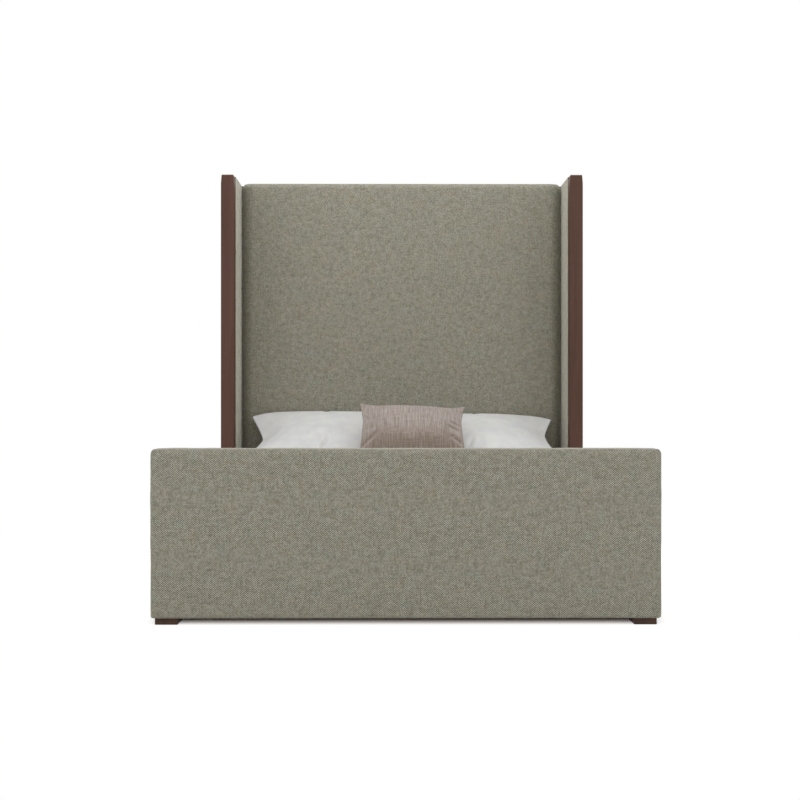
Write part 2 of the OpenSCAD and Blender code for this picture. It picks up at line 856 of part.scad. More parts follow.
// Folded steel hanger: a wall plate with a trough that the beam drops into
module beam_bracket() {
    trough = beam_w / 2 + beam_play;
    z0 = beam_z0 - bracket_t;
    difference() {
        union() {
            block(-bracket_w / 2, bracket_w / 2, 0, bracket_t, z0, z0 + bracket_h);
            block(-trough - bracket_t, trough + bracket_t, 0, bracket_d, z0, z0 + bracket_h);
        }
        block(-trough, trough, bracket_t, bracket_d + CUT, beam_z0, z0 + bracket_h + CUT);
        at_bracket_screws() screw_hole(bracket_screw_r, bracket_screw_l);
    }
}

module beam_brackets() {
    color("#8f9396") at_brackets() beam_bracket();
}

module bracket_screws() {
    color("silver") at_brackets() at_bracket_screws() wood_screw(bracket_screw_r, bracket_screw_l);
}

beam_y0 = y_inner + bracket_t + beam_end_gap;
beam_y1 = y_base - bracket_t - beam_end_gap;

module centre_beam() {
    color("wheat") difference() {
        block(-beam_w / 2, beam_w / 2, beam_y0, beam_y1, beam_z0, slat_z0);
        for (y = leg_stations()) at_leg_screws(y) screw_hole(leg_screw_r, leg_screw_l);
    }
}

// Centre legs

leg_share = [0.2, 0.5, 0.8];
flange_t = 3;
flange_w = beam_w - 1;
insert_lip = 3;
glide_sink = 4; // how deep the stud sits in the glide's foot

function leg_stations() = [for (s = leg_share) beam_y0 + (beam_y1 - beam_y0) * s];

module at_leg_screws(y) {
    edge = 8;
    for (dx = [-1, 1], dy = [-1, 1])
        translate([dx * (flange_w / 2 - edge), y + dy * (flange_l / 2 - edge), beam_z0 - flange_t])
            children();
}

module leg_screws() {
    color("silver") for (y = leg_stations()) at_leg_screws(y) wood_screw(leg_screw_r, leg_screw_l);
}

// Steel tube with a welded flange, screwed up into the beam
module centre_leg(y) {
    tube_z0 = leg_z0 + insert_lip;
    color("#3a3a3c") difference() {
        union() {
            translate([0, y, tube_z0]) cylinder(r = leg_r, h = beam_z0 - tube_z0, $fn = ROUND_FN);
            block(-flange_w / 2, flange_w / 2, y - flange_l / 2, y + flange_l / 2,
                  beam_z0 - flange_t, beam_z0);
        }
        translate([0, y, tube_z0 - CUT])
            cylinder(r = leg_r - leg_wall, h = beam_z0 - flange_t - tube_z0 + CUT, $fn = ROUND_FN);
        at_leg_screws(y) screw_hole(leg_screw_r, leg_screw_l);
    }
}

// Threaded nylon plug in the tube's lower end
module leg_inserts() {
    color("#d8d5cc") for (y = leg_stations()) translate([0, y, leg_z0]) difference() {
        union() {
            cylinder(r = leg_r, h = insert_lip, $fn = ROUND_FN);
            cylinder(r = leg_r - leg_wall - stud_gap, h = insert_l, $fn = ROUND_FN);
        }
        translate([0, 0, -CUT]) cylinder(r = stud_r + stud_gap, h = insert_l + 2 * CUT, $fn = ROUND_FN);
    }
}

// Levelling glide: a stud with a nut, standing in a round foot
module glide_stud(y) {
    nut_r = stud_r * 1.85;
    color("silver") translate([0, y, 0]) {
        translate([0, 0, glide_h - glide_sink])
            cylinder(r = stud_r, h = glide_sink + nut_h + stud_l, $fn = ROUND_FN);
        translate([0, 0, glide_h]) cylinder(r = nut_r, h = nut_h, $fn = NUT_SIDES);
    }
}

module glide_foot(y) {
    color("#2b2b2b") translate([0, y, 0]) rotate_extrude($fn = ROUND_FN)
        polygon([[0, 0], [glide_r - 1, 0], [glide_r, 1], [glide_r, glide_h / 2], [glide_r * 0.6, glide_h],
                 [stud_r + screw_gap, glide_h], [stud_r + screw_gap, glide_h - glide_sink],
                 [0, glide_h - glide_sink]]);
}

// Mattress: rounded in plan, with a taped edge top and bottom and a border that bulges between them
module mattress() {
    edge = 22;
    tape_in = 4;
    groove_in = 6;
    tape_h = 12;
    groove_h = 20;
    corner_n = 6;
    // [inset, height] from the underside up to the widest level
    border = [[edge, 0], [tape_in + 3, tape_h / 3], [tape_in, tape_h], [groove_in, groove_h],
              [groove_in / 3, mattress_t * 0.3], [0, mattress_t * 0.5]];
    function level(inset, z) =
        [for (p = ring(mattress_w - 2 * inset, mattress_l - 2 * inset, mattress_r - inset, corner_n))
            [p[0], p[1], z]];
    lower = [for (b = border) level(b[0], b[1])];
    upper = [for (i = [len(border) - 2 : -1 : 0]) level(border[i][0], mattress_t - border[i][1])];
    color("#d9d7d2") translate([0, y_mattress + mattress_l / 2, base_h])
        ring_solid(concat(lower, upper), [0, 0, 0], [0, 0, mattress_t]);
}

// Pillows

press_reach = 50; // how far above a surface a soft piece starts to flatten against it
waist_left = 0.09; // where the left-hand pillow's sides are drawn in most, on the scale of v below
waist_right = 0.29;

// A stuffed rectangle seen edge on: thickest in the middle, nothing at the seam
function plump(u, v) =
    let (fall = 2.4, round = 0.75)
    pow(1 - pow(abs(u), fall), round) * pow(1 - pow(abs(v), fall), round);

// Presses h, the height above a surface, so that what would sink in by `sink` ends just above it;
// what stands higher than press_reach stays as it is
function press(h, sink) =
    h >= press_reach ? h
        : soft_gap + (press_reach - soft_gap) * pow(max(0, h + sink) / (press_reach + sink), 1.5);

// How far the sides are drawn in, from 0 at a corner to 1 at the waist, which lies at v = waist
function drawn_in(v, waist) = 1 - pow(abs(v - waist) / (v > waist ? 1 - waist : 1 + waist), 1.3);

// Point of a pillow that curves up from angle a0 at its lower seam to a1 at its upper seam, with sides
// drawn in at the waist by the share pull, and upper corners that hang down by droop.
// u and v run from -1 to 1 across and up; side is 1 for the face and -1 for the underside.
function pillow_point(u, v, side, w, h, t, pull, waist, droop, a0, a1) =
    let (s = (v + 1) / 2,
         a = a0 + (a1 - a0) * s,
         turn = (a1 - a0) * PI / 180,
         x = w / 2 * u * (1 - pull * drawn_in(v, waist) * u * u),
         along = h * (1 - pull * v * v * (1 - u * u) * 0.5),
         y = along * (sin(a) - sin(a0)) / turn,
         z = along * (cos(a0) - cos(a)) / turn - droop * pow(u, 4) * s * s,
         d = side * t / 2 * plump(u, v))
    [x, y - d * sin(a), z + d * cos(a)];

// Grid of front points, then the inner points of the back, which share the seam
function pillow_points(nu, nv, w, h, t, pull, waist, droop, a0, a1) = concat(
    [for (i = [0 : nu], j = [0 : nv])
        pillow_point(2 * i / nu - 1, 2 * j / nv - 1, 1, w, h, t, pull, waist, droop, a0, a1)],
    [for (i = [1 : nu - 1], j = [1 : nv - 1])
        pillow_point(2 * i / nu - 1, 2 * j / nv - 1, -1, w, h, t, pull, waist, droop, a0, a1)]
);

function pillow_faces(nu, nv) =
    let (front = function (i, j) i * (nv + 1) + j,
         back = function (i, j) (i == 0 || i == nu || j == 0 || j == nv)
             ? front(i, j) : (nu + 1) * (nv + 1) + (i - 1) * (nv - 1) + j - 1)
    [for (i = [0 : nu - 1], j = [0 : nv - 1])
        let (fa = front(i, j), fb = front(i + 1, j), fc = front(i + 1, j + 1), fd = front(i, j + 1),
             ba = back(i, j), bb = back(i + 1, j), bc = back(i + 1, j + 1), bd = back(i, j + 1))
        // the split runs out towards the nearer corner, so that no triangle lies wholly on the seam
        each ((i < nu / 2) == (j < nv / 2)
            ? [[fa, fc, fb], [fa, fd, fc], [ba, bb, bc], [ba, bc, bd]]
            : [[fa, fd, fb], [fb, fd, fc], [ba, bb, bd], [bb, bc, bd]])];

// Pillow lying on the mattress with its upper seam against whatever stands at y_wall. It would sink by
// `sink` into the mattress and by `back_sink` into the wall; tilt lowers its right-hand end.
module resting_pillow(w, h, t, pull, waist, droop, a0, a1, y_wall, sink, back_sink, tilt = 0) {
    nu = 16;
    nv = 12;
    raw = [for (p = pillow_points(nu, nv, w, h, t, pull, waist, droop, a0, a1))
        [p[0], p[1], p[2] * (1 - tan(tilt) * p[0] / h)]];
    low = min([for (p = raw) p[2]]);
    far = max([for (p = raw) p[1]]);
    points = [for (p = raw)
        [p[0], y_wall - press(far - p[1] - back_sink, back_sink),
         mattress_top + press(p[2] - low - sink, sink)]];
    polyhedron(points, pillow_faces(nu, nv), convexity = 4);
}

module pillow(side, slope, pull, waist) {
    color("#cbcac8") on_side(side) translate([(pillow_w + pillow_gap) / 2, 0, 0])
        resting_pillow(pillow_w, pillow_h, pillow_t, pull, waist, droop = pillow_droop,
                       a0 = 3, a1 = slope, y_wall = y_cushion,
                       sink = pillow_sink, back_sink = pillow_back_sink);
}

// Lumbar cushion, leaning back against the two pillows
module lumbar_cushion() {
    a0 = 78;
    a1 = 48;
    lean = lumbar_h * cos((a0 + a1) / 2);
    color("#a39790") translate([lumbar_x, 0, 0])
        resting_pillow(lumbar_w, lumbar_h, lumbar_t, pull = 0.07, waist = 0.3, droop = lumbar_droop,
                       a0 = a0, a1 = a1, y_wall = y_cushion - lumbar_reach + lean + lumbar_t / 2,
                       sink = lumbar_sink, back_sink = 0, tilt = lumbar_tilt);
}

footboard_posts();
footboard_planks();
footboard_front_board();
footboard_back_board();
footboard_cover();
block_foot(LEFT, foot_stations()[0]);  // front_foot_left
block_foot(RIGHT, foot_stations()[0]);  // front_foot_right
block_foot(LEFT, foot_stations()[1]);  // wing_foot_left
block_foot(RIGHT, foot_stations()[1]);  // wing_foot_right
block_foot(LEFT, foot_stations()[2]);  // rear_foot_left
block_foot(RIGHT, foot_stations()[2]);  // rear_foot_right
foot_screws();
headboard_stiles();
headboard_rails();
headboard_front_board();
headboard_back_board();
headboard_back_cover();
headboard_cushion();
wing_board(LEFT);  // wing_board_left
wing_board(RIGHT);  // wing_board_right
wing_cover(LEFT);  // wing_cover_left
wing_cover(RIGHT);  // wing_cover_right
wing_post(LEFT);  // wing_post_left
wing_post(RIGHT);  // wing_post_right
wing_bolts();
rail_board(LEFT);  // rail_board_left
rail_board(RIGHT);  // rail_board_right
rail_cover(LEFT);  // rail_cover_left
rail_cover(RIGHT);  // rail_cover_right
rail_hook_plates();
rail_slot_plates();
plate_screws();
ledger(LEFT);  // ledger_left
ledger(RIGHT);  // ledger_right
wing_ledger(LEFT);  // wing_ledger_left
wing_ledger(RIGHT);  // wing_ledger_right
ledger_screws();
slats();
slat_straps();
centre_beam();
beam_brackets();
bracket_screws();
centre_leg(leg_stations()[0]);  // centre_leg_front
centre_leg(leg_stations()[1]);  // centre_leg_middle
centre_leg(leg_stations()[2]);  // centre_leg_rear
leg_inserts();
leg_screws();
glide_stud(leg_stations()[0]);  // glide_stud_front
glide_stud(leg_stations()[1]);  // glide_stud_middle
glide_stud(leg_stations()[2]);  // glide_stud_rear
glide_foot(leg_stations()[0]);  // glide_foot_front
glide_foot(leg_stations()[1]);  // glide_foot_middle
glide_foot(leg_stations()[2]);  // glide_foot_rear
mattress();
pillow(LEFT, pillow_slope_left, pull_left, waist_left);  // pillow_left
pillow(RIGHT, pillow_slope_right, pull_right, waist_right);  // pillow_right
lumbar_cushion();
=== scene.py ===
import math

import bpy
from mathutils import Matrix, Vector, noise


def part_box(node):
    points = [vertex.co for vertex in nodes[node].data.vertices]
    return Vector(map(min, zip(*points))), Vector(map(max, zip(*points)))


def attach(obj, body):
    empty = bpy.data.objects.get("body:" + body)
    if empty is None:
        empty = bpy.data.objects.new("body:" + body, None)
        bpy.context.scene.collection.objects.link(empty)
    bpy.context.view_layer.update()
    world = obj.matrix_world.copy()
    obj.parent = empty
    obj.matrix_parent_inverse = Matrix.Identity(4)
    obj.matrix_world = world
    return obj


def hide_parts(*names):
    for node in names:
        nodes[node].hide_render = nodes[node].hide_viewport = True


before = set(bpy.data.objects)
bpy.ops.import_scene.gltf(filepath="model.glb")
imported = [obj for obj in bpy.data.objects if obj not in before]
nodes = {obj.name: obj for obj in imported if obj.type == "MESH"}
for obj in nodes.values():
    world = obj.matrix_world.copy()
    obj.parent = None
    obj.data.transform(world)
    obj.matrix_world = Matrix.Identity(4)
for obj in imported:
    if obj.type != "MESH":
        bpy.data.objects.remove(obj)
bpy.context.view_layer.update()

# Timber core of the footboard: softwood posts, ribs and planks, glued and stapled into a box and closed
# front and back with thin plywood. It is bare wood, because the cover hides it.


def put(tree, kind, feeds=None, **settings):
    """A node of that kind, with its settings, and with its sockets fed by numbers or by other sockets."""
    made = tree.nodes.new(kind)
    for key, value in settings.items():
        setattr(made, key, value)
    for socket, value in (feeds or {}).items():
        if isinstance(value, bpy.types.NodeSocket):
            tree.links.new(value, made.inputs[socket])
        else:
            made.inputs[socket].default_value = value
    return made


def calc(tree, operation, *values):
    return put(tree, "ShaderNodeMath", dict(enumerate(values)), operation=operation).outputs[0]


def ramp(tree, factor, *stops):
    """Colour ramp through (place, sRGB colour) stops."""
    made = put(tree, "ShaderNodeValToRGB", {0: factor})
    points = made.color_ramp.elements
    while len(points) < len(stops):
        points.new(0.5)
    for point, (position, colour) in zip(points, stops):
        point.position = position
        point.color = paint(colour)
    return made.outputs[0]


def paint(srgb):
    """Colour written as sRGB from 0 to 255, as a shader takes it."""
    shares = [c / 255 for c in srgb]
    return [s / 12.92 if s < 0.04045 else ((s + 0.055) / 1.055) ** 2.4 for s in shares] + [1]


def span(tree, value, low, high):
    """A value between 0 and 1, spread between low and high."""
    return put(tree, "ShaderNodeMapRange", {0: value, 3: low, 4: high}).outputs[0]


def relief(tree, strength, depth, height, **more):
    """Fine relief in a surface; a height of 1 stands for that depth in metres."""
    feeds = {"Strength": strength, "Distance": depth, "Height": height, **more}
    return put(tree, "ShaderNodeBump", feeds).outputs[0]


def new_finish(name, roughness, metallic=0.0, specular=0.5):
    material = bpy.data.materials.new(name)
    material.use_nodes = True
    tree = material.node_tree
    shader = tree.nodes["Principled BSDF"]
    shader.inputs["Roughness"].default_value = roughness
    shader.inputs["Metallic"].default_value = metallic
    shader.inputs["Specular IOR Level"].default_value = specular
    return material, tree, shader


def place(tree, scale=(1, 1, 1), turn=(0, 0, 0)):
    """Where a point lies on the piece, in metres, stretched and turned."""
    coordinates = put(tree, "ShaderNodeTexCoord")
    return put(tree, "ShaderNodeMapping", {0: coordinates.outputs["Object"], 2: turn, 3: scale}).outputs[0]


# How close a wood's bands and its pores lie, across the grain and along it
BANDS = (0.22, 0.012)
PORES = (9.0, 0.25)


def grained(name, along, dark, mid, light, roughness=0.55, grain=70.0, depth=0.0004, knots=0.0):
    """Wood with its grain along one axis: growth rings drawn out into bands, and fine pores. A higher grain
    makes both finer, and knots bend the bands."""
    material, tree, shader = new_finish(name, roughness, specular=0.35)
    band_scale = [grain * BANDS[0]] * 3
    pore_scale = [grain * PORES[0]] * 3
    band_scale[along] = grain * BANDS[1]
    pore_scale[along] = grain * PORES[1]
    bands = put(tree, "ShaderNodeTexNoise", {"Vector": place(tree, band_scale), "Scale": 1.0, "Detail": 4.0,
                                             "Roughness": 0.55, "Distortion": 0.35 + knots}).outputs[0]
    pores = put(tree, "ShaderNodeTexNoise", {"Vector": place(tree, pore_scale), "Scale": 1.0, "Detail": 3.0,
                                             "Roughness": 0.6}).outputs[0]
    tone = calc(tree, "ADD", calc(tree, "MULTIPLY", bands, 0.75), calc(tree, "MULTIPLY", pores, 0.25))
    tree.links.new(ramp(tree, tone, (0.34, dark), (0.5, mid), (0.66, light)), shader.inputs["Base Color"])
    tree.links.new(span(tree, pores, roughness - 0.08, roughness + 0.1), shader.inputs["Roughness"])
    tree.links.new(relief(tree, 0.35, depth, tone), shader.inputs["Normal"])
    return material


def dress(material, *names):
    """Gives CAD pieces whose shape is right their finish."""
    for name in names:
        mesh = nodes[name].data
        mesh.materials.clear()
        mesh.materials.append(material)


ACROSS, LENGTHWISE, UPRIGHT = 0, 1, 2
pine_upright = grained("pine_upright", UPRIGHT, (176, 138, 92), (205, 170, 122), (222, 192, 148))
pine_across = grained("pine_across", ACROSS, (174, 136, 90), (203, 168, 120), (220, 190, 146))
plywood = grained("plywood", UPRIGHT, (168, 130, 92), (190, 154, 114), (206, 172, 132), grain=40.0,
                  knots=0.8)
dress(pine_upright, "footboard_posts")
dress(pine_across, "footboard_planks")
dress(plywood, "footboard_front_board", "footboard_back_board")

# Footboard cover: a sleeve of tweed over foam, pulled down over the core, with soft rounded edges and its
# hem stapled underneath. The tweed is a coarse plain weave of grey-green, olive and cream yarns.

YARN = 0.0040  # width of an upright yarn of the tweed
PICK = 0.0033  # height of a level yarn
HEM = 0.018  # how far a cover is turned in underneath
CLOTH = 0.003  # thickness of the cloth and its backing
PROUD = 0.002  # how far the footboard's padding stands out past its plain solid


def weave_group():
    """Plain weave of dark and light yarns, drawn in a plane with one yarn to each unit. Gives the height of
    the cloth, the tone of its checks, and the tone of the thick and thin yarns that run up and across it."""
    group = bpy.data.node_groups.new("plain_weave", "ShaderNodeTree")
    for name in ("Across", "Along"):
        group.interface.new_socket(name, in_out="INPUT", socket_type="NodeSocketFloat")
    for name in ("Height", "Checks", "Upright yarns", "Level yarns"):
        group.interface.new_socket(name, in_out="OUTPUT", socket_type="NodeSocketFloat")
    given = group.nodes.new("NodeGroupInput").outputs
    cell = [calc(group, "FLOOR", given[k]) for k in (0, 1)]
    half_turns = [calc(group, "MULTIPLY", calc(group, "FRACT", given[k]), math.pi) for k in (0, 1)]
    hump = [calc(group, "SINE", angle) for angle in half_turns]
    parity = calc(group, "FRACT", calc(group, "MULTIPLY", calc(group, "ADD", *cell), 0.5))
    over = calc(group, "SUBTRACT", calc(group, "MULTIPLY", parity, 4.0), 1.0)
    flat = put(group, "ShaderNodeCombineXYZ", {0: given[0], 1: given[1]}).outputs[0]
    patch = put(group, "ShaderNodeTexNoise", {"Vector": flat, "Scale": 0.16, "Detail": 1.0},
                noise_dimensions="2D").outputs[0]
    faint, strong = 0.16, 0.4
    contrast = put(group, "ShaderNodeMapRange", {0: patch, 1: 0.35, 2: 0.65, 3: faint, 4: strong}).outputs[0]
    at_cell = put(group, "ShaderNodeCombineXYZ", {0: cell[0], 1: cell[1]}).outputs[0]
    fleck = put(group, "ShaderNodeTexWhiteNoise", {"Vector": at_cell}, noise_dimensions="2D").outputs[0]
    checks = calc(group, "ADD", calc(group, "MULTIPLY", over, contrast),
                  calc(group, "MULTIPLY", calc(group, "SUBTRACT", fleck, 0.5), 0.3))
    yarns = []
    across_yarn, along_yarn = 0.8, 0.06
    for stretch in ((across_yarn, along_yarn), (along_yarn, across_yarn)):
        drawn = [calc(group, "MULTIPLY", given[k], stretch[k]) for k in (0, 1)]
        at = put(group, "ShaderNodeCombineXYZ", {0: drawn[0], 1: drawn[1]}).outputs[0]
        thick = put(group, "ShaderNodeTexNoise", {"Vector": at, "Scale": 1.0, "Detail": 2.0},
                    noise_dimensions="2D").outputs[0]
        yarns.append(calc(group, "SUBTRACT", thick, 0.5))
    height = calc(group, "POWER", calc(group, "MULTIPLY", *hump), 0.7)
    height = calc(group, "ADD", calc(group, "MULTIPLY", height, 0.8), calc(group, "ADD", *yarns))
    leaving = group.nodes.new("NodeGroupOutput")
    for k, value in enumerate((height, checks, *yarns)):
        group.links.new(value, leaving.inputs[k])
    return group


plain_weave = weave_group()


def weave(tree, yarn, pick, turn=(0, 0, 0)):
    """The weave laid on whichever way a face looks: across and up, or across and along on a level face."""
    at = put(tree, "ShaderNodeSeparateXYZ", {0: place(tree, turn=turn)}).outputs
    turned = put(tree, "ShaderNodeVectorRotate", {0: put(tree, "ShaderNodeTexCoord").outputs["Normal"],
                                                  "Rotation": turn}, rotation_type="EULER_XYZ").outputs[0]
    facing = put(tree, "ShaderNodeSeparateXYZ", {0: turned}).outputs
    size = [calc(tree, "ABSOLUTE", facing[k]) for k in range(3)]
    level = calc(tree, "GREATER_THAN", size[2], calc(tree, "MAXIMUM", size[0], size[1]))
    sideways = calc(tree, "MULTIPLY", calc(tree, "GREATER_THAN", size[0], size[1]),
                    calc(tree, "SUBTRACT", 1.0, level))

    def choose(switch, this, other):
        return put(tree, "ShaderNodeMix", {0: switch, 2: this, 3: other}).outputs[0]

    laid = put(tree, "ShaderNodeGroup", node_tree=plain_weave)
    tree.links.new(calc(tree, "DIVIDE", choose(sideways, at[0], at[1]), yarn), laid.inputs[0])
    tree.links.new(calc(tree, "DIVIDE", choose(level, at[2], at[1]), pick), laid.inputs[1])
    return laid.outputs


def mottle(tree, size, detail=2.0):
    """Soft patches of about that size, in metres."""
    feeds = {"Vector": place(tree), "Scale": 1 / size, "Detail": detail}
    return put(tree, "ShaderNodeTexNoise", feeds).outputs[0]


def blend(tree, share, this, other, how="MIX"):
    """Two colours blended, the other one by that share."""
    feeds = {0: share, 6: this, 7: other}
    return put(tree, "ShaderNodeMix", feeds, data_type="RGBA", blend_type=how).outputs[2]


BLOTCH = 0.02  # size of the cloth's small blotches, in metres
DYE_PATCH = 0.045  # size of the patches where the dye took differently
DYE_SPREAD = (-0.6, 1.6)  # how far apart in colour these patches are
DYE_SHARE = 0.25  # how much they colour the yarns
PAINTED_SHADE_FACING = (0.55, 0.05)  # how far up a face looks where the painted shade begins, and where it is full
NAP_LIFT = 16  # how much lighter the nap is than the lightest yarn


def woven(name, yarn, pick, dark, mid, light, patches, checks=1.0, upright=0.3, level=0.3, blotches=0.25,
          sheen=0.15, nap=0.4, bump_depth=0.0009, turn=(0, 0, 0), under=None):
    """Woven cloth: yarns from dark to light, with patches where the dye took differently. Where under is
    given, faces that turn down are darkened towards that colour: painted shade for the parts turned away
    from the light above."""
    material, tree, shader = new_finish(name, 0.9, specular=0.2)
    laid = weave(tree, yarn, pick, turn)
    tone = calc(tree, "MULTIPLY", laid["Checks"], checks)
    for socket, share in (("Upright yarns", upright), ("Level yarns", level)):
        tone = calc(tree, "ADD", tone, calc(tree, "MULTIPLY", laid[socket], share))
    blotch = calc(tree, "SUBTRACT", mottle(tree, BLOTCH, detail=3.0), 0.5)
    tone = calc(tree, "ADD", tone, calc(tree, "MULTIPLY", blotch, blotches))
    yarns = ramp(tree, calc(tree, "ADD", tone, 0.5), (0.0, dark), (0.5, mid), (1.0, light))
    patch = span(tree, mottle(tree, DYE_PATCH), *DYE_SPREAD)
    colour = blend(tree, DYE_SHARE, yarns, blend(tree, patch, paint(patches[0]), paint(patches[1])))
    # Painted shade: on faces that turn down, the colour is multiplied towards under.
    if under:
        facing = put(tree, "ShaderNodeSeparateXYZ", {0: put(tree, "ShaderNodeTexCoord").outputs["Normal"]})
        starts, full = PAINTED_SHADE_FACING
        painted_shade = put(tree, "ShaderNodeMapRange", {0: facing.outputs[2], 1: starts, 2: full, 3: 0.0, 4: 1.0},
                   interpolation_type="SMOOTHSTEP").outputs[0]
        colour = blend(tree, 1.0, colour, blend(tree, painted_shade, (1, 1, 1, 1), paint(under)), "MULTIPLY")
    tree.links.new(colour, shader.inputs["Base Color"])
    shader.inputs["Sheen Weight"].default_value = sheen
    shader.inputs["Sheen Roughness"].default_value = nap
    shader.inputs["Sheen Tint"].default_value = paint([c + NAP_LIFT for c in light])
    tree.links.new(relief(tree, 0.6, bump_depth, laid["Height"]), shader.inputs["Normal"])
    return material


def tweed_cloth(name, painted_light_lift=0):
    """The tweed. A lighter copy of it, raised by the given number of levels, is painted light standing in
    for the brighter light on the wings' inner faces.
    """
    tones = [[c + painted_light_lift for c in tone] for tone in ((61, 57, 44), (131, 127, 113), (199, 196, 183),
                                                   (143, 132, 108), (123, 131, 118))]
    return woven(name, YARN, PICK, *tones[:3], tones[3:], upright=0.22, level=0.22, blotches=0.02, sheen=1.0,
                 nap=0.3)


tweed = tweed_cloth("tweed")


def new_piece(name, points, faces, material, smooth=True):
    mesh = bpy.data.meshes.new(name)
    mesh.from_pydata([tuple(p) for p in points], [], faces)
    mesh.validate()
    mesh.update()
    if smooth:
        mesh.shade_smooth()
    mesh.materials.append(material)
    piece = bpy.data.objects.new(name, mesh)
    bpy.context.scene.collection.objects.link(piece)
    return piece


def marks(low, high, rounding, step, turns=4):
    """Places along one side of a box, closer together where an end is rounded."""
    start, end = rounding
    flat = high - low - start - end
    count = max(2, round(flat / step))
    bends = [math.tan(math.pi / 4 * i / turns) for i in range(1, turns + 1)]
    before = [low + start * (1 - bend) for bend in bends[::-1]] if start else []
    after = [high - end * (1 - bend) for bend in bends] if end else []
    return before + [low + start + flat * i / count for i in range(count + 1)] + after


def skin_of_box(along, keep):
    """Grid over the faces of a box, joined at its edges, through the marks along each of its three sides.
    keep(direction, middle) says which cells stay."""
    counts = [len(side) - 1 for side in along]
    numbers, points, faces = {}, [], []

    def corner(key):
        if key not in numbers:
            numbers[key] = len(points)
            points.append(Vector([along[k][key[k]] for k in range(3)]))
        return numbers[key]

    for axis in range(3):
        u, v = (axis + 1) % 3, (axis + 2) % 3
        for end in (0, 1):
            direction = Vector([0, 0, 0])
            direction[axis] = 2 * end - 1
            for i in range(counts[u]):
                for j in range(counts[v]):
                    keys = []
                    for a, b in ((0, 0), (1, 0), (1, 1), (0, 1)):
                        key = [0, 0, 0]
                        key[axis], key[u], key[v] = end * counts[axis], i + a, j + b
                        keys.append(tuple(key))
                    middle = Vector([0, 0, 0])
                    middle[axis] = along[axis][-end]
                    middle[u] = (along[u][i] + along[u][i + 1]) / 2
                    middle[v] = (along[v][j] + along[v][j + 1]) / 2
                    if keep(direction, middle):
                        ring = [corner(key) for key in keys]
                        faces.append(ring if end else ring[::-1])
    return points, faces


def round_edges(p, low, high, radii):
    """Moves a point of a box's skin onto the same box with rounded edges. radii holds, for each axis, the
    rounding at its low and at its high end; 0 leaves that end sharp."""
    inner = Vector(p)
    out = Vector()
    size = 0.0
    for k in range(3):
        below, above = radii[k]
        inner[k] = min(max(p[k], low[k] + below), high[k] - above)
        out[k] = p[k] - inner[k]
        if out[k]:
            radius = below if out[k] < 0 else above
            size = max(size, abs(out[k]) / radius)
            out[k] /= radius
    if not size:
        return p
    shrink = size / out.length
    return inner + (p - inner) * shrink


def ripple(p, size, seed):
    """Smooth noise, whose swells are about that size in metres."""
    return noise.noise(Vector(p) / size + Vector((seed, 2.7 * seed, 5.1 * seed)))


WOBBLE = 0.0009  # depth of the unevenness of cloth pulled by hand, in swells of two sizes
LONG_RIPPLE = 0.11
SHORT_RIPPLE = 0.035
SWELL_POWER = 24  # how near to its edges a padded face swells fully
UNEVEN_FROM = 0.25  # share of the swell from which the face is fully uneven


def upholstered(name, low, high, radii, crown, step, keep, seed, material=tweed):
    """Foam and cloth over a box: rounded edges, faces that swell a little, and a slight unevenness. Faces
    that keep leaves out are open, and the cloth's edge shows there."""
    middle = (low + high) / 2
    along = [marks(low[k], high[k], radii[k], step) for k in range(3)]
    points, faces = skin_of_box(along, keep)
    moved = []
    for p in points:
        q = round_edges(p, low, high, radii)
        share = [abs(p[k] - middle[k]) / (high[k] - middle[k]) for k in range(3)]
        for k in range(3):
            on_face = share[k] > 0.999
            looks_down = k == 2 and p.z < middle.z
            if on_face and not looks_down:
                inset = min(1 - share[m] ** SWELL_POWER for m in range(3) if m != k)
                uneven = WOBBLE * (ripple(p, LONG_RIPPLE, seed) + 0.6 * ripple(p, SHORT_RIPPLE, seed))
                swell = crown * inset + uneven * min(1.0, inset / UNEVEN_FROM)
                q[k] += swell * math.copysign(1, p[k] - middle[k])
        moved.append(q)
    piece = new_piece(name, moved, faces, material)
    shell = piece.modifiers.new("cloth", "SOLIDIFY")
    shell.thickness = CLOTH
    shell.offset = -1.0
    apply_modifiers(piece)
    return piece


def apply_modifiers(piece):
    finished = bpy.data.meshes.new_from_object(piece.evaluated_get(bpy.context.evaluated_depsgraph_get()))
    piece.modifiers.clear()
    piece.data = finished


def stands_for(piece, node):
    """The dressed piece takes the place of its plain CAD solid."""
    piece.name = node + "_dressed"
    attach(piece, "bed")
    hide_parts(node)
    return piece


def open_below(low, high):
    """Underneath, the cloth stops a hem's width in from the edge."""
    def keep(direction, middle):
        inside = all(low[k] + HEM < middle[k] < high[k] - HEM for k in (0, 1))
        return not (direction.z < 0 and inside)
    return keep


low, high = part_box("footboard_cover")
low -= Vector((PROUD, PROUD, 0))
high += Vector((PROUD, PROUD, 0))
footboard_edges = ((0.011, 0.011), (0.018, 0.014), (0.0075, 0.017))
footboard_cover = upholstered("footboard_cover", low, high, footboard_edges, crown=0.001, step=0.012,
                              keep=open_below(low, high), seed=1.3)
stands_for(footboard_cover, "footboard_cover")

# Headboard core: a ladder of softwood stiles and rails, closed with plywood in front and a thin board
# behind, with cloth down the back and a padded roll of the same tweed over the top edge.

pine_frame = grained("pine_frame", ACROSS, (170, 132, 88), (200, 165, 118), (218, 188, 144))
dress(pine_upright, "headboard_stiles")
dress(pine_frame, "headboard_rails")
dress(plywood, "headboard_front_board", "headboard_back_board")

BACK_EDGE = 0.008  # rounding of the edge between the top and the back


def back_and_top(direction, middle):
    """The cloth goes down the back and over the top."""
    return direction.y > 0 or direction.z > 0


low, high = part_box("headboard_back_cover")
back_cover = upholstered("headboard_back_cover", low, high, ((0, 0), (0, BACK_EDGE), (0, BACK_EDGE)),
                         crown=0.001, step=0.02, keep=back_and_top, seed=2.1)
stands_for(back_cover, "headboard_back_cover")

# Headboard cushion: thick foam glued to the front board and covered in the tweed. Its face is flat, rolls
# back to each wing, and turns over the top in a tighter curve.

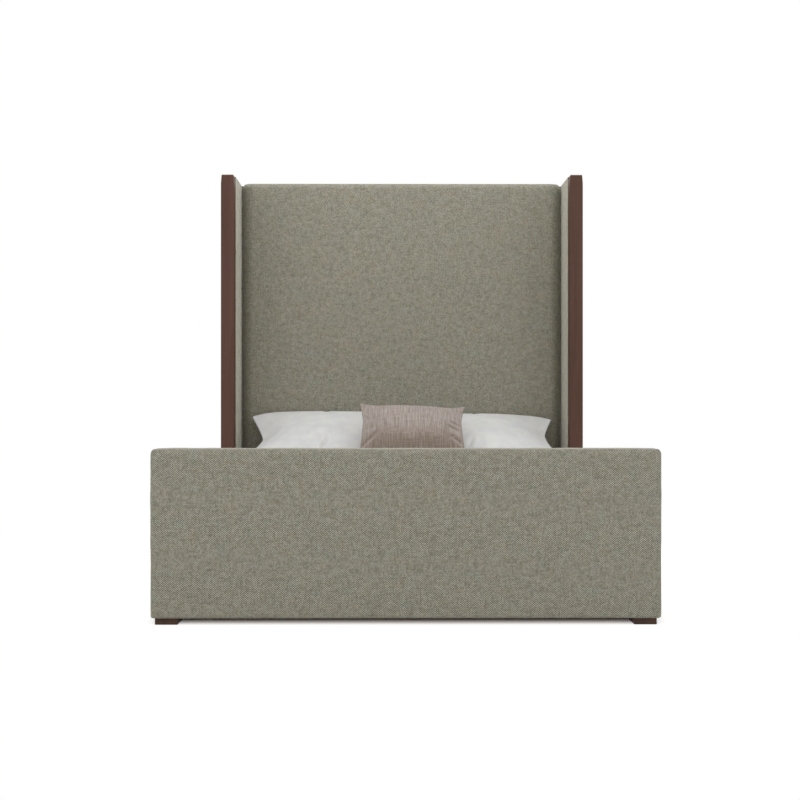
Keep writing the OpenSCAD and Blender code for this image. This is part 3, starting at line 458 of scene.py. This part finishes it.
ROLL_SIDE = 0.062  # breadth over which the face rolls back to each wing
ROLL_TOP = 0.026
ROLL_BOTTOM = 0.030
CUSHION_EDGE = 0.010  # thickness that is left at the wings
CUSHION_CORNER = 0.026  # radius of the corners, seen from the front
CUSHION_CROWN = 0.002  # how far the top swells
CUSHION_STEP = 0.02  # size of the cells in the mesh
BROAD_DENT = (0.0012, 0.24, 3.0)  # depth, size and seed of the face's unevenness
SMALL_DENT = (0.0006, 0.06, 4.0)


def quarter(distance, reach):
    """Height of a quarter-round roll, from 0 at its foot to 1 where it levels off."""
    t = min(1.0, max(0.0, distance / reach))
    return math.sqrt(max(0.0, 1 - (1 - t) ** 2))


def stations(length, start_roll, end_roll, turns):
    """Places along a side, closer together where it rolls."""
    bends = [1 - math.cos(math.pi / 2 * i / turns) for i in range(turns)]
    start = [start_roll * bend for bend in bends]
    end = [length - end_roll * bend for bend in bends][::-1]
    count = max(2, round((length - start_roll - end_roll) / CUSHION_STEP))
    middle = [start_roll + (length - start_roll - end_roll) * i / count for i in range(count + 1)]
    return start + middle + end


def round_corner(a, b, width, height, radius):
    """Pulls a point of a rectangle in to the round corner of that radius."""
    da = abs(a) - (width / 2 - radius)
    db = abs(b) - (height / 2 - radius)
    if da <= 0 or db <= 0:
        return a, b
    shrink = max(da, db) / math.hypot(da, db)
    return (math.copysign(width / 2 - radius + da * shrink, a),
            math.copysign(height / 2 - radius + db * shrink, b))


def headboard_pad(low, high):
    """Points and faces of the cushion: its rolled front, a narrow rim, and a flat back."""
    high.z += CUSHION_CROWN
    width, depth, height = high - low
    centre = (low + high) / 2
    across = [x - width / 2 for x in stations(width, ROLL_SIDE, ROLL_SIDE, turns=16)]
    upward = [z - height / 2 for z in stations(height, ROLL_BOTTOM, ROLL_TOP, turns=8)]
    points, faces = [], []
    for x in across:
        for z in upward:
            side = quarter(width / 2 - abs(x), ROLL_SIDE)
            top = quarter(height / 2 - z, ROLL_TOP)
            foot = quarter(height / 2 + z, ROLL_BOTTOM)
            thick = CUSHION_EDGE + (depth - CUSHION_EDGE) * side
            roll = min(thick, ROLL_TOP)
            thick -= roll * (1 - top) + min(thick, ROLL_BOTTOM) * (1 - foot)
            spot = Vector((x, 0, z))
            uneven = sum(most * ripple(spot, size, seed) for most, size, seed in (BROAD_DENT, SMALL_DENT))
            thick += side * uneven * top * foot
            a, b = round_corner(x, z, width, height, CUSHION_CORNER)
            points.append((centre.x + a, high.y - thick, centre.z + b))
    rows = len(upward)
    for i in range(len(across) - 1):
        for j in range(rows - 1):
            a = i * rows + j
            faces.append((a, a + rows, a + rows + 1, a + 1))
    # The rim runs once round the front's edge, and the back closes it
    rim = [i * rows for i in range(len(across))]
    rim += [(len(across) - 1) * rows + j for j in range(1, rows)]
    rim += [i * rows + rows - 1 for i in range(len(across) - 2, -1, -1)]
    rim += [j for j in range(rows - 2, 0, -1)]
    start = len(points)
    points += [(points[k][0], high.y, points[k][2]) for k in rim]
    for n in range(len(rim)):
        m = (n + 1) % len(rim)
        faces.append((rim[m], rim[n], start + n, start + m))
    faces.append([start + n for n in range(len(rim))])
    return points, faces


headboard_cushion = new_piece("headboard_cushion", *headboard_pad(*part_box("headboard_cushion")), tweed)
stands_for(headboard_cushion, "headboard_cushion")

# Wings: a softwood board wrapped in foam and tweed, bolted to the headboard's stiles, with a solid
# timber post glued along its front edge. The cover is sewn with a thin welt along its inner top edge. The
# posts are stained dark brown and finished in satin lacquer.

dress(pine_upright, "wing_board_left", "wing_board_right")
WING_ROLL = 0.011  # rounding of a wing's outer and back edges
WING_SEAM = 0.004  # rounding of its inner and top edges
WELT = 0.0022  # radius of the welt
WELT_STEPS = 24
WELT_STOPS = 0.012  # how far short of the wing's back it stops


def tucked_behind_post(low, high):
    """The cover is open at the post, and its hem is turned in underneath."""
    def keep(direction, middle):
        if direction.y < 0:
            return False
        return direction.z > 0 or not (direction.z < 0 and low.x + HEM < middle.x < high.x - HEM
                                       and middle.y < high.y - HEM)
    return keep


def tube(path, radius, sides=8, closed=True):
    """Points and faces of a tube that follows a level path."""
    points, faces = [], []
    count = len(path)
    for n, p in enumerate(path):
        ahead = path[(n + 1) % count] if closed or n < count - 1 else p
        behind = path[n - 1] if closed or n else p
        outward = Vector((ahead.y - behind.y, behind.x - ahead.x, 0)).normalized()
        for s in range(sides):
            angle = 2 * math.pi * s / sides
            points.append(p + outward * radius * math.cos(angle) + Vector((0, 0, radius * math.sin(angle))))
    for n in range(count if closed else count - 1):
        for s in range(sides):
            a, b = n * sides + s, n * sides + (s + 1) % sides
            c, d = ((n + 1) % count) * sides + (s + 1) % sides, ((n + 1) % count) * sides + s
            faces.append((a, b, c, d))
    return points, faces


# The welt is real, but its cloth is the tweed made darker: painted shade for the shadowed seam along the
# wing's top edge.
welt_cloth_painted_shade = woven("tweed_welt_painted_shade", YARN, PICK, (54, 51, 41), (108, 105, 94), (160, 158, 147),
                   ((112, 104, 92), (104, 107, 98)), bump_depth=0.0005)
# The wings' tweed is 13 levels lighter: painted light for their brightly lit inner faces.
wing_tweed_painted_light = tweed_cloth("tweed_wing_painted_light", painted_light_lift=13)
for side, faces_right, seed in (("left", True, 3.7), ("right", False, 4.9)):
    node = "wing_cover_" + side
    low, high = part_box(node)
    across = (WING_ROLL, WING_SEAM) if faces_right else (WING_SEAM, WING_ROLL)
    edges = (across, (0.006, WING_ROLL), (0, WING_SEAM))
    cover = upholstered(node, low, high, edges, crown=0.0015, step=0.013, keep=tucked_behind_post(low, high),
                        seed=seed, material=wing_tweed_painted_light)
    stands_for(cover, node)
    edge = high.x - WELT if faces_right else low.x + WELT
    run = [Vector((edge, low.y + (high.y - low.y - WELT_STOPS) * n / WELT_STEPS, high.z - WELT))
           for n in range(WELT_STEPS + 1)]
    welt = new_piece("wing_welt_" + side, *tube(run, WELT, closed=False), welt_cloth_painted_shade)
    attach(welt, "bed")


def stained(name, along, dark, mid, light):
    """Dark stained timber under satin lacquer."""
    material = grained(name, along, dark, mid, light, roughness=0.5, grain=95.0, depth=0.0002)
    shader = material.node_tree.nodes["Principled BSDF"]
    shader.inputs["Specular IOR Level"].default_value = 0.2
    shader.inputs["Coat Weight"].default_value = 0.05
    shader.inputs["Coat Roughness"].default_value = 0.3
    return material


walnut_upright = stained("walnut_upright", UPRIGHT, (73, 49, 39), (85, 58, 47), (94, 66, 54))
dress(walnut_upright, "wing_post_left", "wing_post_right")


def plated(name, colour, roughness):
    """Steel with a thin, slightly uneven finish."""
    material, tree, shader = new_finish(name, roughness, metallic=1.0)
    cloud = mottle(tree, 0.012, detail=4.0)
    tree.links.new(ramp(tree, cloud, (0.3, [c * 0.86 for c in colour]), (0.7, colour)),
                   shader.inputs["Base Color"])
    tree.links.new(span(tree, cloud, roughness - 0.08, roughness + 0.12), shader.inputs["Roughness"])
    return material


zinc = plated("zinc_plate", (190, 190, 186), 0.35)
dress(zinc, "wing_bolts")

# Block feet: six short blocks of the same dark timber, each screwed up into a plank, a post or a wing's
# board through two deep holes.

walnut_lengthwise = stained("walnut_lengthwise", LENGTHWISE, (57, 38, 31), (70, 48, 39), (84, 60, 50))
for corner in ("front", "wing", "rear"):
    dress(walnut_lengthwise, corner + "_foot_left", corner + "_foot_right")
dress(zinc, "foot_screws")

# Side rails: a softwood board padded on its outside and top, and down its inside to the slats, and covered
# in tweed. Steel plates with two hooks are let into its ends, and drop into slotted plates in the post and
# the footboard.

pine_lengthwise = grained("pine_lengthwise", LENGTHWISE, (172, 134, 90), (201, 166, 119), (219, 189, 145))
dress(pine_lengthwise, "rail_board_left", "rail_board_right")
RAIL_EDGE = 0.008  # rounding of the rails' long edges


def down_to_the_slats(low, high, outward):
    """The cover is open at the rail's ends, on its inside below the slats' top, and on the inner half of its
    underside."""
    slat_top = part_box("slats")[1].z

    def keep(direction, middle):
        if direction.y != 0:
            return False
        if direction.x == -outward:
            return middle.z > slat_top
        if direction.z < 0:
            return middle.x * outward > (low.x + high.x) / 2 * outward
        return True
    return keep


for side, outward, seed in (("left", -1, 5.3), ("right", 1, 6.1)):
    node = "rail_cover_" + side
    low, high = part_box(node)
    cover = upholstered(node, low, high, ((RAIL_EDGE, RAIL_EDGE), (0, 0), (0, RAIL_EDGE)), crown=0.002,
                        step=0.014, keep=down_to_the_slats(low, high, outward), seed=seed)
    stands_for(cover, node)

dress(plated("steel_plate", (150, 152, 154), 0.4), "rail_hook_plates", "rail_slot_plates", "beam_brackets")
dress(zinc, "plate_screws")

# Slatted base: ledgers screwed along the rails and the wings, and a beam down the middle, carry thirteen
# softwood slats. Two straps of webbing stapled across the slats space them.

slat_wood = grained("slat_wood", ACROSS, (196, 160, 112), (220, 190, 146), (234, 210, 172))
ledger_wood = grained("ledger_wood", LENGTHWISE, (186, 150, 104), (212, 180, 136), (228, 202, 162))
dress(ledger_wood, "ledger_left", "ledger_right", "wing_ledger_left", "wing_ledger_right", "centre_beam")
dress(slat_wood, "slats")
dress(zinc, "ledger_screws", "bracket_screws", "leg_screws")
webbing = woven("webbing", 0.0016, 0.0016, (176, 170, 152), (202, 197, 182), (220, 216, 204),
                ((198, 190, 170), (204, 202, 192)), bump_depth=0.0004)
dress(webbing, "slat_straps")

# Centre legs: black powder-coated tubes with a flange screwed under the beam, a nylon insert in each lower
# end, and a levelling glide with a steel stud and a moulded foot.


def pebbled(name, colour):
    """Powder coat or moulded nylon: one colour, with the fine pebbling of its surface."""
    material, tree, shader = new_finish(name, 0.5)
    tree.links.new(ramp(tree, mottle(tree, 0.02), (0.3, [c * 0.85 for c in colour]), (0.7, colour)),
                   shader.inputs["Base Color"])
    pebbles = mottle(tree, 0.0012)
    tree.links.new(relief(tree, 0.25, 0.0002, pebbles), shader.inputs["Normal"])
    return material


places = ("front", "middle", "rear")
dress(pebbled("black_powder_coat", (44, 44, 46)), *["centre_leg_" + spot for spot in places])
dress(pebbled("natural_nylon", (214, 210, 198)), "leg_inserts")
dress(pebbled("black_nylon", (36, 36, 37)), *["glide_foot_" + spot for spot in places])
dress(zinc, *["glide_stud_" + spot for spot in places])

# Mattress: a sprung mattress in white ticking, its panels quilted in diamonds, its border quilted in
# lines, and a taped edge sewn round the top and the bottom.

QUILT = 0.13  # width of a quilted diamond, corner to corner
QUILT_SINK = 0.006  # how far a line of stitching pulls a panel in
STITCH_DIP = 0.012  # breadth of the dip beside it
BORDER_LINES = (0.28, 0.5, 0.72)  # places of the border's lines, from 0 at its foot to 1 at its top
BORDER_SINK = 0.004  # how far they pull it in
BORDER_DIP = 0.01  # breadth of the dip beside them
BORDER_INSET = 0.002  # how far the border stands in from the edges
MATTRESS_EDGE = 0.02  # rounding of the edges
PLAN_RADIUS = 0.07  # radius of the corners, seen from above
TAPE = 0.006  # half the thickness of the taped edge
TAPE_SET_IN = 0.003  # how far it lies in from the top or the bottom


def cotton_like(name, colour, yarn=0.0009, warm=(4, 3, 0)):
    """Smooth white cloth: a fine weave, and soft creases that only the light shows."""
    material, tree, shader = new_finish(name, 0.85, specular=0.25)
    laid = weave(tree, yarn, yarn)
    shade = calc(tree, "ADD", calc(tree, "MULTIPLY", laid["Level yarns"], 0.3), mottle(tree, 0.05))
    low_tone = [c - 7 for c in colour]
    tree.links.new(ramp(tree, shade, (0.3, low_tone), (0.7, [c + w for c, w in zip(colour, warm)])),
                   shader.inputs["Base Color"])
    shader.inputs["Sheen Weight"].default_value = 0.1
    crease = put(tree, "ShaderNodeTexNoise", {"Vector": place(tree, (9, 9, 16)), "Scale": 1.0, "Detail": 3.0,
                                              "Distortion": 1.2}).outputs[0]
    fine = relief(tree, 0.3, 0.0002, laid["Height"])
    tree.links.new(relief(tree, 0.5, 0.0036, crease, Normal=fine), shader.inputs["Normal"])
    return material


def seam_line(distance, width):
    """How far a line of stitching pulls the cloth in, from 1 on the line to 0 beside it."""
    return math.exp(-(distance / width) ** 2)


def mattress_skin(low, high):
    """Points and faces of the quilted mattress."""
    edges = [(MATTRESS_EDGE, MATTRESS_EDGE)] * 3
    along = [marks(low[k], high[k], edges[k], step=0.0125) for k in range(3)]
    points, faces = skin_of_box(along, lambda direction, middle: True)
    width, length, height = high - low
    centre = (low + high) / 2
    diagonal = 1.414
    plain_rim, fade_in = 0.015, 0.03
    moved = []

    def on_face(distance, size):
        return abs(abs(distance) - size / 2) < 1e-6

    for p in points:
        top = 1 if p.z > centre.z else -1
        inset = min(width / 2 - abs(p.x - centre.x), length / 2 - abs(p.y - centre.y))
        q = round_edges(p, low, high, edges)
        if on_face(p.z - centre.z, height):
            a = (p.x - centre.x + p.y - centre.y) / QUILT
            b = (p.x - centre.x - p.y + centre.y) / QUILT
            lines = max(seam_line(QUILT * (c - round(c)) / diagonal, STITCH_DIP) for c in (a, b))
            fade = min(1.0, max(0.0, (inset - plain_rim) / fade_in))
            q.z -= top * fade * QUILT_SINK * lines
        else:
            upward = (p.z - low.z) / height
            lines = max(seam_line(height * (upward - line), BORDER_DIP) for line in BORDER_LINES)
            pull = BORDER_SINK * lines + BORDER_INSET
            for k, size in ((0, width), (1, length)):
                away = p[k] - centre[k]
                if on_face(away, size):
                    q[k] -= pull * (1 if away > 0 else -1)
        x, y = round_corner(q.x - centre.x, q.y - centre.y, width, length, PLAN_RADIUS)
        moved.append(Vector((centre.x + x, centre.y + y, q.z)))
    return moved, faces


def around(low, high, inset, radius, z, turns=8):
    """Level path round a rectangle with round corners."""
    centre = (low + high) / 2
    a, b = (high.x - low.x) / 2 - inset, (high.y - low.y) / 2 - inset
    path = []
    for k, (sx, sy) in enumerate(((1, 1), (-1, 1), (-1, -1), (1, -1))):
        for i in range(turns + 1):
            angle = math.pi / 2 * (k + i / turns)
            path.append(Vector((centre.x + sx * (a - radius) + radius * math.cos(angle),
                                centre.y + sy * (b - radius) + radius * math.sin(angle), z)))
    return path


ticking = cotton_like("quilted_ticking", (214, 212, 205), yarn=0.0012)
low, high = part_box("mattress")
mattress = new_piece("mattress", *mattress_skin(low, high), ticking)
tape_cloth = woven("edge_tape", 0.001, 0.001, (168, 164, 154), (190, 187, 178), (206, 203, 196),
                   ((186, 182, 172), (192, 190, 184)), bump_depth=0.0003)
for end, z in (("lower", low.z + TAPE + TAPE_SET_IN), ("upper", high.z - TAPE - TAPE_SET_IN)):
    line = around(low, high, TAPE, PLAN_RADIUS, z)
    tape = new_piece("mattress_tape_" + end, *tube(line, TAPE), tape_cloth)
    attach(tape, "bed")
stands_for(mattress, "mattress")

# Pillows: cotton cases sewn from two flat rectangles and stuffed, so that the sides draw in and the
# corners stand out. Each lies on the mattress, curving up against the headboard cushion.

MATTRESS_TOP = high.z
CUSHION_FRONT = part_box("headboard_cushion")[0].y
REST_GAP = 0.0003  # space that is left between a pillow and what it rests on
PILLOW = (0.708, 0.450, 0.170)  # width, height and thickness of a stuffed pillow
CUT = 1.1  # size that a case is cut to, against its size when stuffed
HALF_OPEN = 0.004  # half the space between its two sides before it is stuffed


def sewn_case(name, width, height, across, up, material):
    """Two flat rectangles of cloth, a few millimetres apart, sewn together in a sharp seam."""
    points, faces, front, back = [], [], {}, {}
    for i in range(across + 1):
        for j in range(up + 1):
            spot = (width * (i / across - 0.5), height * (j / up - 0.5))
            on_seam = i in (0, across) or j in (0, up)
            front[i, j] = len(points)
            points.append((*spot, 0.0 if on_seam else HALF_OPEN))
            back[i, j] = front[i, j]
            if not on_seam:
                back[i, j] = len(points)
                points.append((*spot, -HALF_OPEN))
    for i in range(across):
        for j in range(up):
            ring = ((i, j), (i + 1, j), (i + 1, j + 1), (i, j + 1))
            faces.append([front[key] for key in ring])
            faces.append([back[key] for key in ring[::-1]])
    case = new_piece(name, points, faces, material)
    on_seam = {front[key] for key in front if key[0] in (0, across) or key[1] in (0, up)}
    corners = case.data.attributes.new("crease_vert", "FLOAT", "POINT")
    for key in ((0, 0), (0, up), (across, 0), (across, up)):
        corners.data[front[key]].value = 1.0
    knife_edge = case.data.attributes.new("crease_edge", "FLOAT", "EDGE")
    for edge in case.data.edges:
        if edge.vertices[0] in on_seam and edge.vertices[1] in on_seam:
            knife_edge.data[edge.index].value = 0.9
    return case


def stuff(piece, pressure, frames=30):
    """Blows the case up like a stuffing would, and keeps the shape it takes."""
    cloth = piece.modifiers.new("stuffing", "CLOTH")
    settings = cloth.settings
    settings.quality = 6
    settings.mass = 0.2
    for kind, stiffness in (("tension", 15), ("compression", 15), ("shear", 5)):
        setattr(settings, kind + "_stiffness", stiffness)
        setattr(settings, kind + "_damping", 25)
    settings.bending_stiffness = 0.4
    settings.use_pressure = True
    settings.uniform_pressure_force = pressure
    settings.effector_weights.gravity = 0
    cloth.collision_settings.use_collision = False
    cloth.point_cache.frame_start = 1
    cloth.point_cache.frame_end = frames
    for step in range(1, frames + 1):
        bpy.context.scene.frame_set(step)
    apply_modifiers(piece)
    bpy.context.scene.frame_set(1)


def bulge(u, v):
    """How full a stuffed case is, from 0 on its seams to 1 at its belly. u and v run from -1 to 1."""
    return max(0.0, 1 - abs(u) ** 2.6) ** 1.5 * max(0.0, 1 - abs(v) ** 2.4) ** 0.75


def drawn_in(v, waist):
    """How far the sides are drawn in, from 0 at a corner to 1 at the waist, which lies at that v."""
    return 1 - (abs(v - waist) / (1 - waist if v > waist else 1 + waist)) ** 1.3


def press(height, sink, reach=0.05):
    """Flattens what would sink in by that much, and leaves alone what is a reach above the surface."""
    if height >= reach:
        return height
    return REST_GAP + (reach - REST_GAP) * (max(0.0, height + sink) / (reach + sink)) ** 1.5


def creases_of(piece, flat, size, form, strength, passes=12):
    """The puckers and dents that stuffing made in the faces, dying out at the seams: what is left when the
    smooth form and all broad differences from it are taken off."""
    points = piece.data.vertices
    spread = [max(v.co[k] for v in points) - min(v.co[k] for v in points) for k in range(3)]
    off = [Vector([v.co[k] * size[k] / spread[k] for k in range(3)]) - form(p) for v, p in zip(points, flat)]
    near = [[] for _ in points]
    for edge in piece.data.edges:
        a, b = edge.vertices
        near[a].append(b)
        near[b].append(a)
    broad = off
    for _ in range(passes):
        broad = [(broad[n] + sum((broad[m] for m in near[n]), Vector())) / (1 + len(near[n]))
                 for n in range(len(points))]
    inside = [1 - max(abs(u), abs(v)) ** 3 for u, v, side in flat]
    return [(a - b) * strength * share for a, b, share in zip(off, broad, inside)]


def fold_at(u, v, size, fold):
    """Depth of one soft fold in the front face. A fold runs between two places, and dies out at its ends."""
    (u0, v0), (u1, v1), depth, breadth = fold
    start = Vector((u0 * size[0] / 2, v0 * size[1] / 2))
    run = Vector((u1 * size[0] / 2, v1 * size[1] / 2)) - start
    here = Vector((u * size[0] / 2, v * size[1] / 2)) - start
    share = here.dot(run) / run.length_squared
    if not 0 < share < 1:
        return 0.0
    aside = (here - run * share).length
    return depth * math.sin(math.pi * share) * math.exp(-(aside / breadth) ** 2)


def bed_down(node, size, pull, waist, droop, low_angle, high_angle, sink, back_sink, wall_y, material,
             tilt=0.0, curl=0.0, pressure=15, cells=(56, 38), creases=1.0, folds=()):
    """Sews and stuffs a case, curves it up from its lower seam, and beds it on the mattress and against what
    stands behind it. The angles are those of its lower and upper ends above the level. Its sides are drawn
    in at the waist by the share pull, its upper corners hang by droop, tilt lowers its right-hand end, and
    curl brings its upper right corner forward, or its left one where it is negative."""
    width, height, thickness = size
    case = sewn_case(node, width * CUT, height * CUT, *cells, material)
    flat = [(v.co.x / (width * CUT / 2), v.co.y / (height * CUT / 2), (v.co.z > 0) - (v.co.z < 0))
            for v in case.data.vertices]

    def form(p):
        u, v, side = p
        return Vector((width / 2 * u * (1 - pull * drawn_in(v, waist) * u * u),
                       height / 2 * v * (1 - pull * (1 - u * u) * 0.5),
                       side * thickness / 2 * bulge(u, v)))

    dents = [Vector()] * len(flat)
    stuff(case, pressure)
    dents = creases_of(case, flat, size, form, creases)
    start, turn = math.radians(low_angle), math.radians(high_angle - low_angle)
    slope = math.tan(math.radians(tilt))
    spots = []
    for (u, v, side), dent in zip(flat, dents):
        share = (v + 1) / 2
        angle = start + turn * share
        sine, cosine = math.sin(angle), math.cos(angle)
        reach = height * (1 - pull * v * v * (1 - u * u) * 0.5)
        x = width / 2 * u * (1 - pull * drawn_in(v, waist) * u * u) + dent.x
        out = side * thickness / 2 * bulge(u, v) + dent.z
        y = reach * (sine - math.sin(start)) / turn + dent.y * cosine - out * sine
        z = reach * (math.cos(start) - cosine) / turn + dent.y * sine + out * cosine
        z -= droop * u ** 4 * share * share
        y -= abs(curl) * max(0.0, u * math.copysign(1, curl)) ** 3 * share
        spots.append(Vector((x, y, z * (1 - slope * x / height))))
    lowest = min(p.z for p in spots)
    furthest = max(p.y for p in spots)
    low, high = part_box(node)
    for point, p in zip(case.data.vertices, spots):
        point.co = ((low.x + high.x) / 2 + p.x, wall_y - press(furthest - p.y - back_sink, back_sink),
                    MATTRESS_TOP + press(p.z - lowest - sink, sink))
    soften(case, flat)
    fold_in(case, size, folds)
    return case


def soften(piece, flat):
    """One subdivision, so that creases turn smoothly. Each point keeps its place in the flat case."""
    for k, name in enumerate(("u", "v", "side")):
        kept = piece.data.attributes.new(name, "FLOAT", "POINT")
        kept.data.foreach_set("value", [spot[k] for spot in flat])
    finer = piece.modifiers.new("finer", "SUBSURF")
    finer.levels = 1
    apply_modifiers(piece)
    piece.data.shade_smooth()


def fold_in(piece, size, folds):
    """Presses the folds into the front face."""
    places = zip(*([each.value for each in piece.data.attributes[name].data] for name in ("u", "v", "side")))
    depths = [sum(fold_at(u, v, size, fold) for fold in folds) if side > 0 else 0.0 for u, v, side in places]
    moves = [point.normal * depth for point, depth in zip(piece.data.vertices, depths)]
    for point, move in zip(piece.data.vertices, moves):
        point.co -= move


cotton = cotton_like("white_cotton", (213, 213, 213), warm=(3, 3, 1))
left_folds = (((-0.03, -1.00), (0.07, -0.46), 0.018, 0.008), ((0.03, -1.00), (0.15, -0.36), 0.009, 0.009))
right_folds = (((-0.17, -1.00), (-0.09, -0.54), 0.008, 0.009), ((0.93, 0.70), (0.80, 0.25), 0.002, 0.008))
for side, upper_angle, pull, waist, droop, curl, pressure, folds in (
        ("left", 52, 0.18, 0.09, 0.040, -0.070, 13, left_folds),
        ("right", 44, 0.12, 0.29, 0.032, 0.075, 15, right_folds)):
    node = "pillow_" + side
    pillow = bed_down(node, PILLOW, pull, waist, droop, low_angle=3, high_angle=upper_angle, sink=0.022,
                      back_sink=0.010, wall_y=CUSHION_FRONT, material=cotton, curl=curl, pressure=pressure,
                      folds=folds)
    stands_for(pillow, node)

# Lumbar cushion: a small cushion of slubbed linen, leaning back on the two pillows with its lower seam on
# the mattress. It is tightly stuffed, with creases running in from its corners.

LUMBAR = (0.481, 0.295, 0.145)  # its width, height and thickness when stuffed
SLUB = 0.0040  # width of its yarns
LEAN = -27  # degrees by which its weave leans back, as the cushion does
# Its under colour paints shade on the faces that turn down, the lower belly turned away from the light
# above.
linen = woven("taupe_linen", SLUB, SLUB, (112, 98, 91), (162, 151, 145), (204, 196, 192),
              ((152, 138, 124), (166, 154, 152)), checks=0.4, upright=0.95, level=0.45, blotches=0.1,
              turn=(math.radians(LEAN), 0, 0), under=(220, 214, 205))
corner_folds = (((0.62, 0.24), (1.00, 0.15), 0.003, 0.0055), ((0.60, 0.12), (1.00, -0.05), 0.003, 0.006),
                ((0.70, -0.16), (1.00, -0.46), 0.004, 0.009), ((-1.00, -0.56), (-0.60, -0.06), 0.004, 0.008),
                ((-1.00, 0.72), (-0.84, 0.44), 0.003, 0.006), ((-0.97, 0.50), (-0.86, 0.26), 0.003, 0.006))
lumbar_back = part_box("lumbar_cushion")[1].y
lumbar = bed_down("lumbar_cushion", LUMBAR, pull=0.08, waist=0.3, droop=-0.004, low_angle=90, high_angle=36,
                  sink=0.008, back_sink=0.0, wall_y=lumbar_back + REST_GAP, material=linen, tilt=2.25,
                  cells=(52, 36), creases=0.5, folds=corner_folds)
stands_for(lumbar, "lumbar_cushion")

# Studio: a floor and a surround that are seen as plain white, softboxes in front to the left and, weaker,
# to the right, one high in front and one over the pillows. The camera stands square to the foot of the
# bed, a little higher than the footboard.

FOCAL = 64.05  # millimetres, on a frame 36 mm wide
CAMERA_AT = (-0.0463, -5.786, 0.7323)
CAMERA_TURN = 0.326  # degrees to the right

camera = bpy.data.objects.new("camera", bpy.data.cameras.new("camera"))
camera.data.sensor_width = 36.0
camera.data.lens = FOCAL
camera.location = CAMERA_AT
camera.rotation_euler = (math.pi / 2, 0, -math.radians(CAMERA_TURN))
bpy.context.scene.collection.objects.link(camera)
bpy.context.scene.camera = camera


def softbox(name, at, aim, width, height, power):
    """A soft rectangular light, aimed at a point."""
    lamp = bpy.data.lights.new(name, "AREA")
    lamp.shape = "RECTANGLE"
    lamp.size = width
    lamp.size_y = height
    lamp.energy = power
    holder = bpy.data.objects.new(name, lamp)
    holder.location = at
    holder.rotation_euler = (Vector(aim) - Vector(at)).to_track_quat("-Z", "Y").to_euler()
    bpy.context.scene.collection.objects.link(holder)


softbox("left_light", (-3.4, -3.0, 3.0), (0, 0.3, 0.8), 2.2, 2.2, 20)
softbox("right_light", (3.4, -3.0, 3.0), (0, 0.3, 0.8), 2.2, 2.2, 8)
softbox("front_light", (0.3, -4.6, 2.6), (0, 0, 0.8), 2.4, 1.6, 20)
softbox("overhead_light", (0.1, 0.5, 2.8), (0, 1.0, 1.0), 2.2, 0.6, 11)


def seen_directly(tree):
    """1 for what the camera sees, itself or in a mirror or glass, and 0 for what only lights the object."""
    path = put(tree, "ShaderNodeLightPath").outputs
    mirrored = calc(tree, "MAXIMUM", path["Is Glossy Ray"], path["Is Transmission Ray"])
    return calc(tree, "MAXIMUM", path["Is Camera Ray"], mirrored)


world = bpy.data.worlds.new("surround")
bpy.context.scene.world = world
world.use_nodes = True
sky = world.node_tree
sky.nodes.clear()
FILL = 0.85  # strength with which the surround lights the bed
fill = put(sky, "ShaderNodeBackground", {"Color": (1, 1, 1, 1), "Strength": FILL}).outputs[0]
white = put(sky, "ShaderNodeBackground", {"Color": (1, 1, 1, 1), "Strength": 1.0}).outputs[0]
surround = put(sky, "ShaderNodeMixShader", {0: seen_directly(sky), 1: fill, 2: white}).outputs[0]
sky.links.new(surround, put(sky, "ShaderNodeOutputWorld").inputs[0])

FLOOR = 9.0  # half the floor's width
BOUNCE = (0.75, 0.75, 0.75, 1)  # the floor's colour as it lights the bed
SHADED = (1.5, 1.5, 1.5, 1)  # and as the camera sees it, so that only the bed's shadow is less than white
FADES_OUT = (1.5, 2.6)  # distances from the bed's middle over which the shadow gives way to white
UNDER_FRONT = 0.14  # depth under the footboard over which it does so towards the front
FRONT_CURVE = 1.9  # a higher value keeps that nearer to the front
floor = new_piece("floor", [(-FLOOR, -FLOOR, 0), (FLOOR, -FLOOR, 0), (FLOOR, FLOOR, 0), (-FLOOR, FLOOR, 0)],
                  [(0, 1, 2, 3)], None, smooth=False)
floor_white = bpy.data.materials.new("floor_white")
floor_white.use_nodes = True
tree = floor_white.node_tree
tree.nodes.clear()
path = put(tree, "ShaderNodeLightPath").outputs
tone = blend(tree, path["Is Camera Ray"], BOUNCE, SHADED)
lit = put(tree, "ShaderNodeBsdfDiffuse", {"Color": tone}).outputs[0]
glow = put(tree, "ShaderNodeEmission", {"Color": (1, 1, 1, 1), "Strength": 1.0}).outputs[0]
away = put(tree, "ShaderNodeVectorMath", {0: place(tree, (1, 0.8, 1))}, operation="LENGTH").outputs[1]
starts, full = FADES_OUT
far = put(tree, "ShaderNodeMapRange", {0: away, 1: starts, 2: full, 3: 0.0, 4: 1.0}).outputs[0]
ahead = put(tree, "ShaderNodeSeparateXYZ", {0: place(tree)}).outputs[1]
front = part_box("footboard_cover")[0].y
nearer = put(tree, "ShaderNodeMapRange", {0: ahead, 1: front + UNDER_FRONT, 2: front, 3: 0.0, 4: 1.0})
white_share = calc(tree, "MAXIMUM", far, calc(tree, "POWER", nearer.outputs[0], FRONT_CURVE))
glowing = calc(tree, "MULTIPLY", white_share, seen_directly(tree))
mixed = put(tree, "ShaderNodeMixShader", {0: glowing, 1: lit, 2: glow}).outputs[0]
tree.links.new(mixed, put(tree, "ShaderNodeOutputMaterial").inputs[0])
floor.data.materials.clear()
floor.data.materials.append(floor_white)

bpy.context.scene.view_settings.view_transform = "Standard"
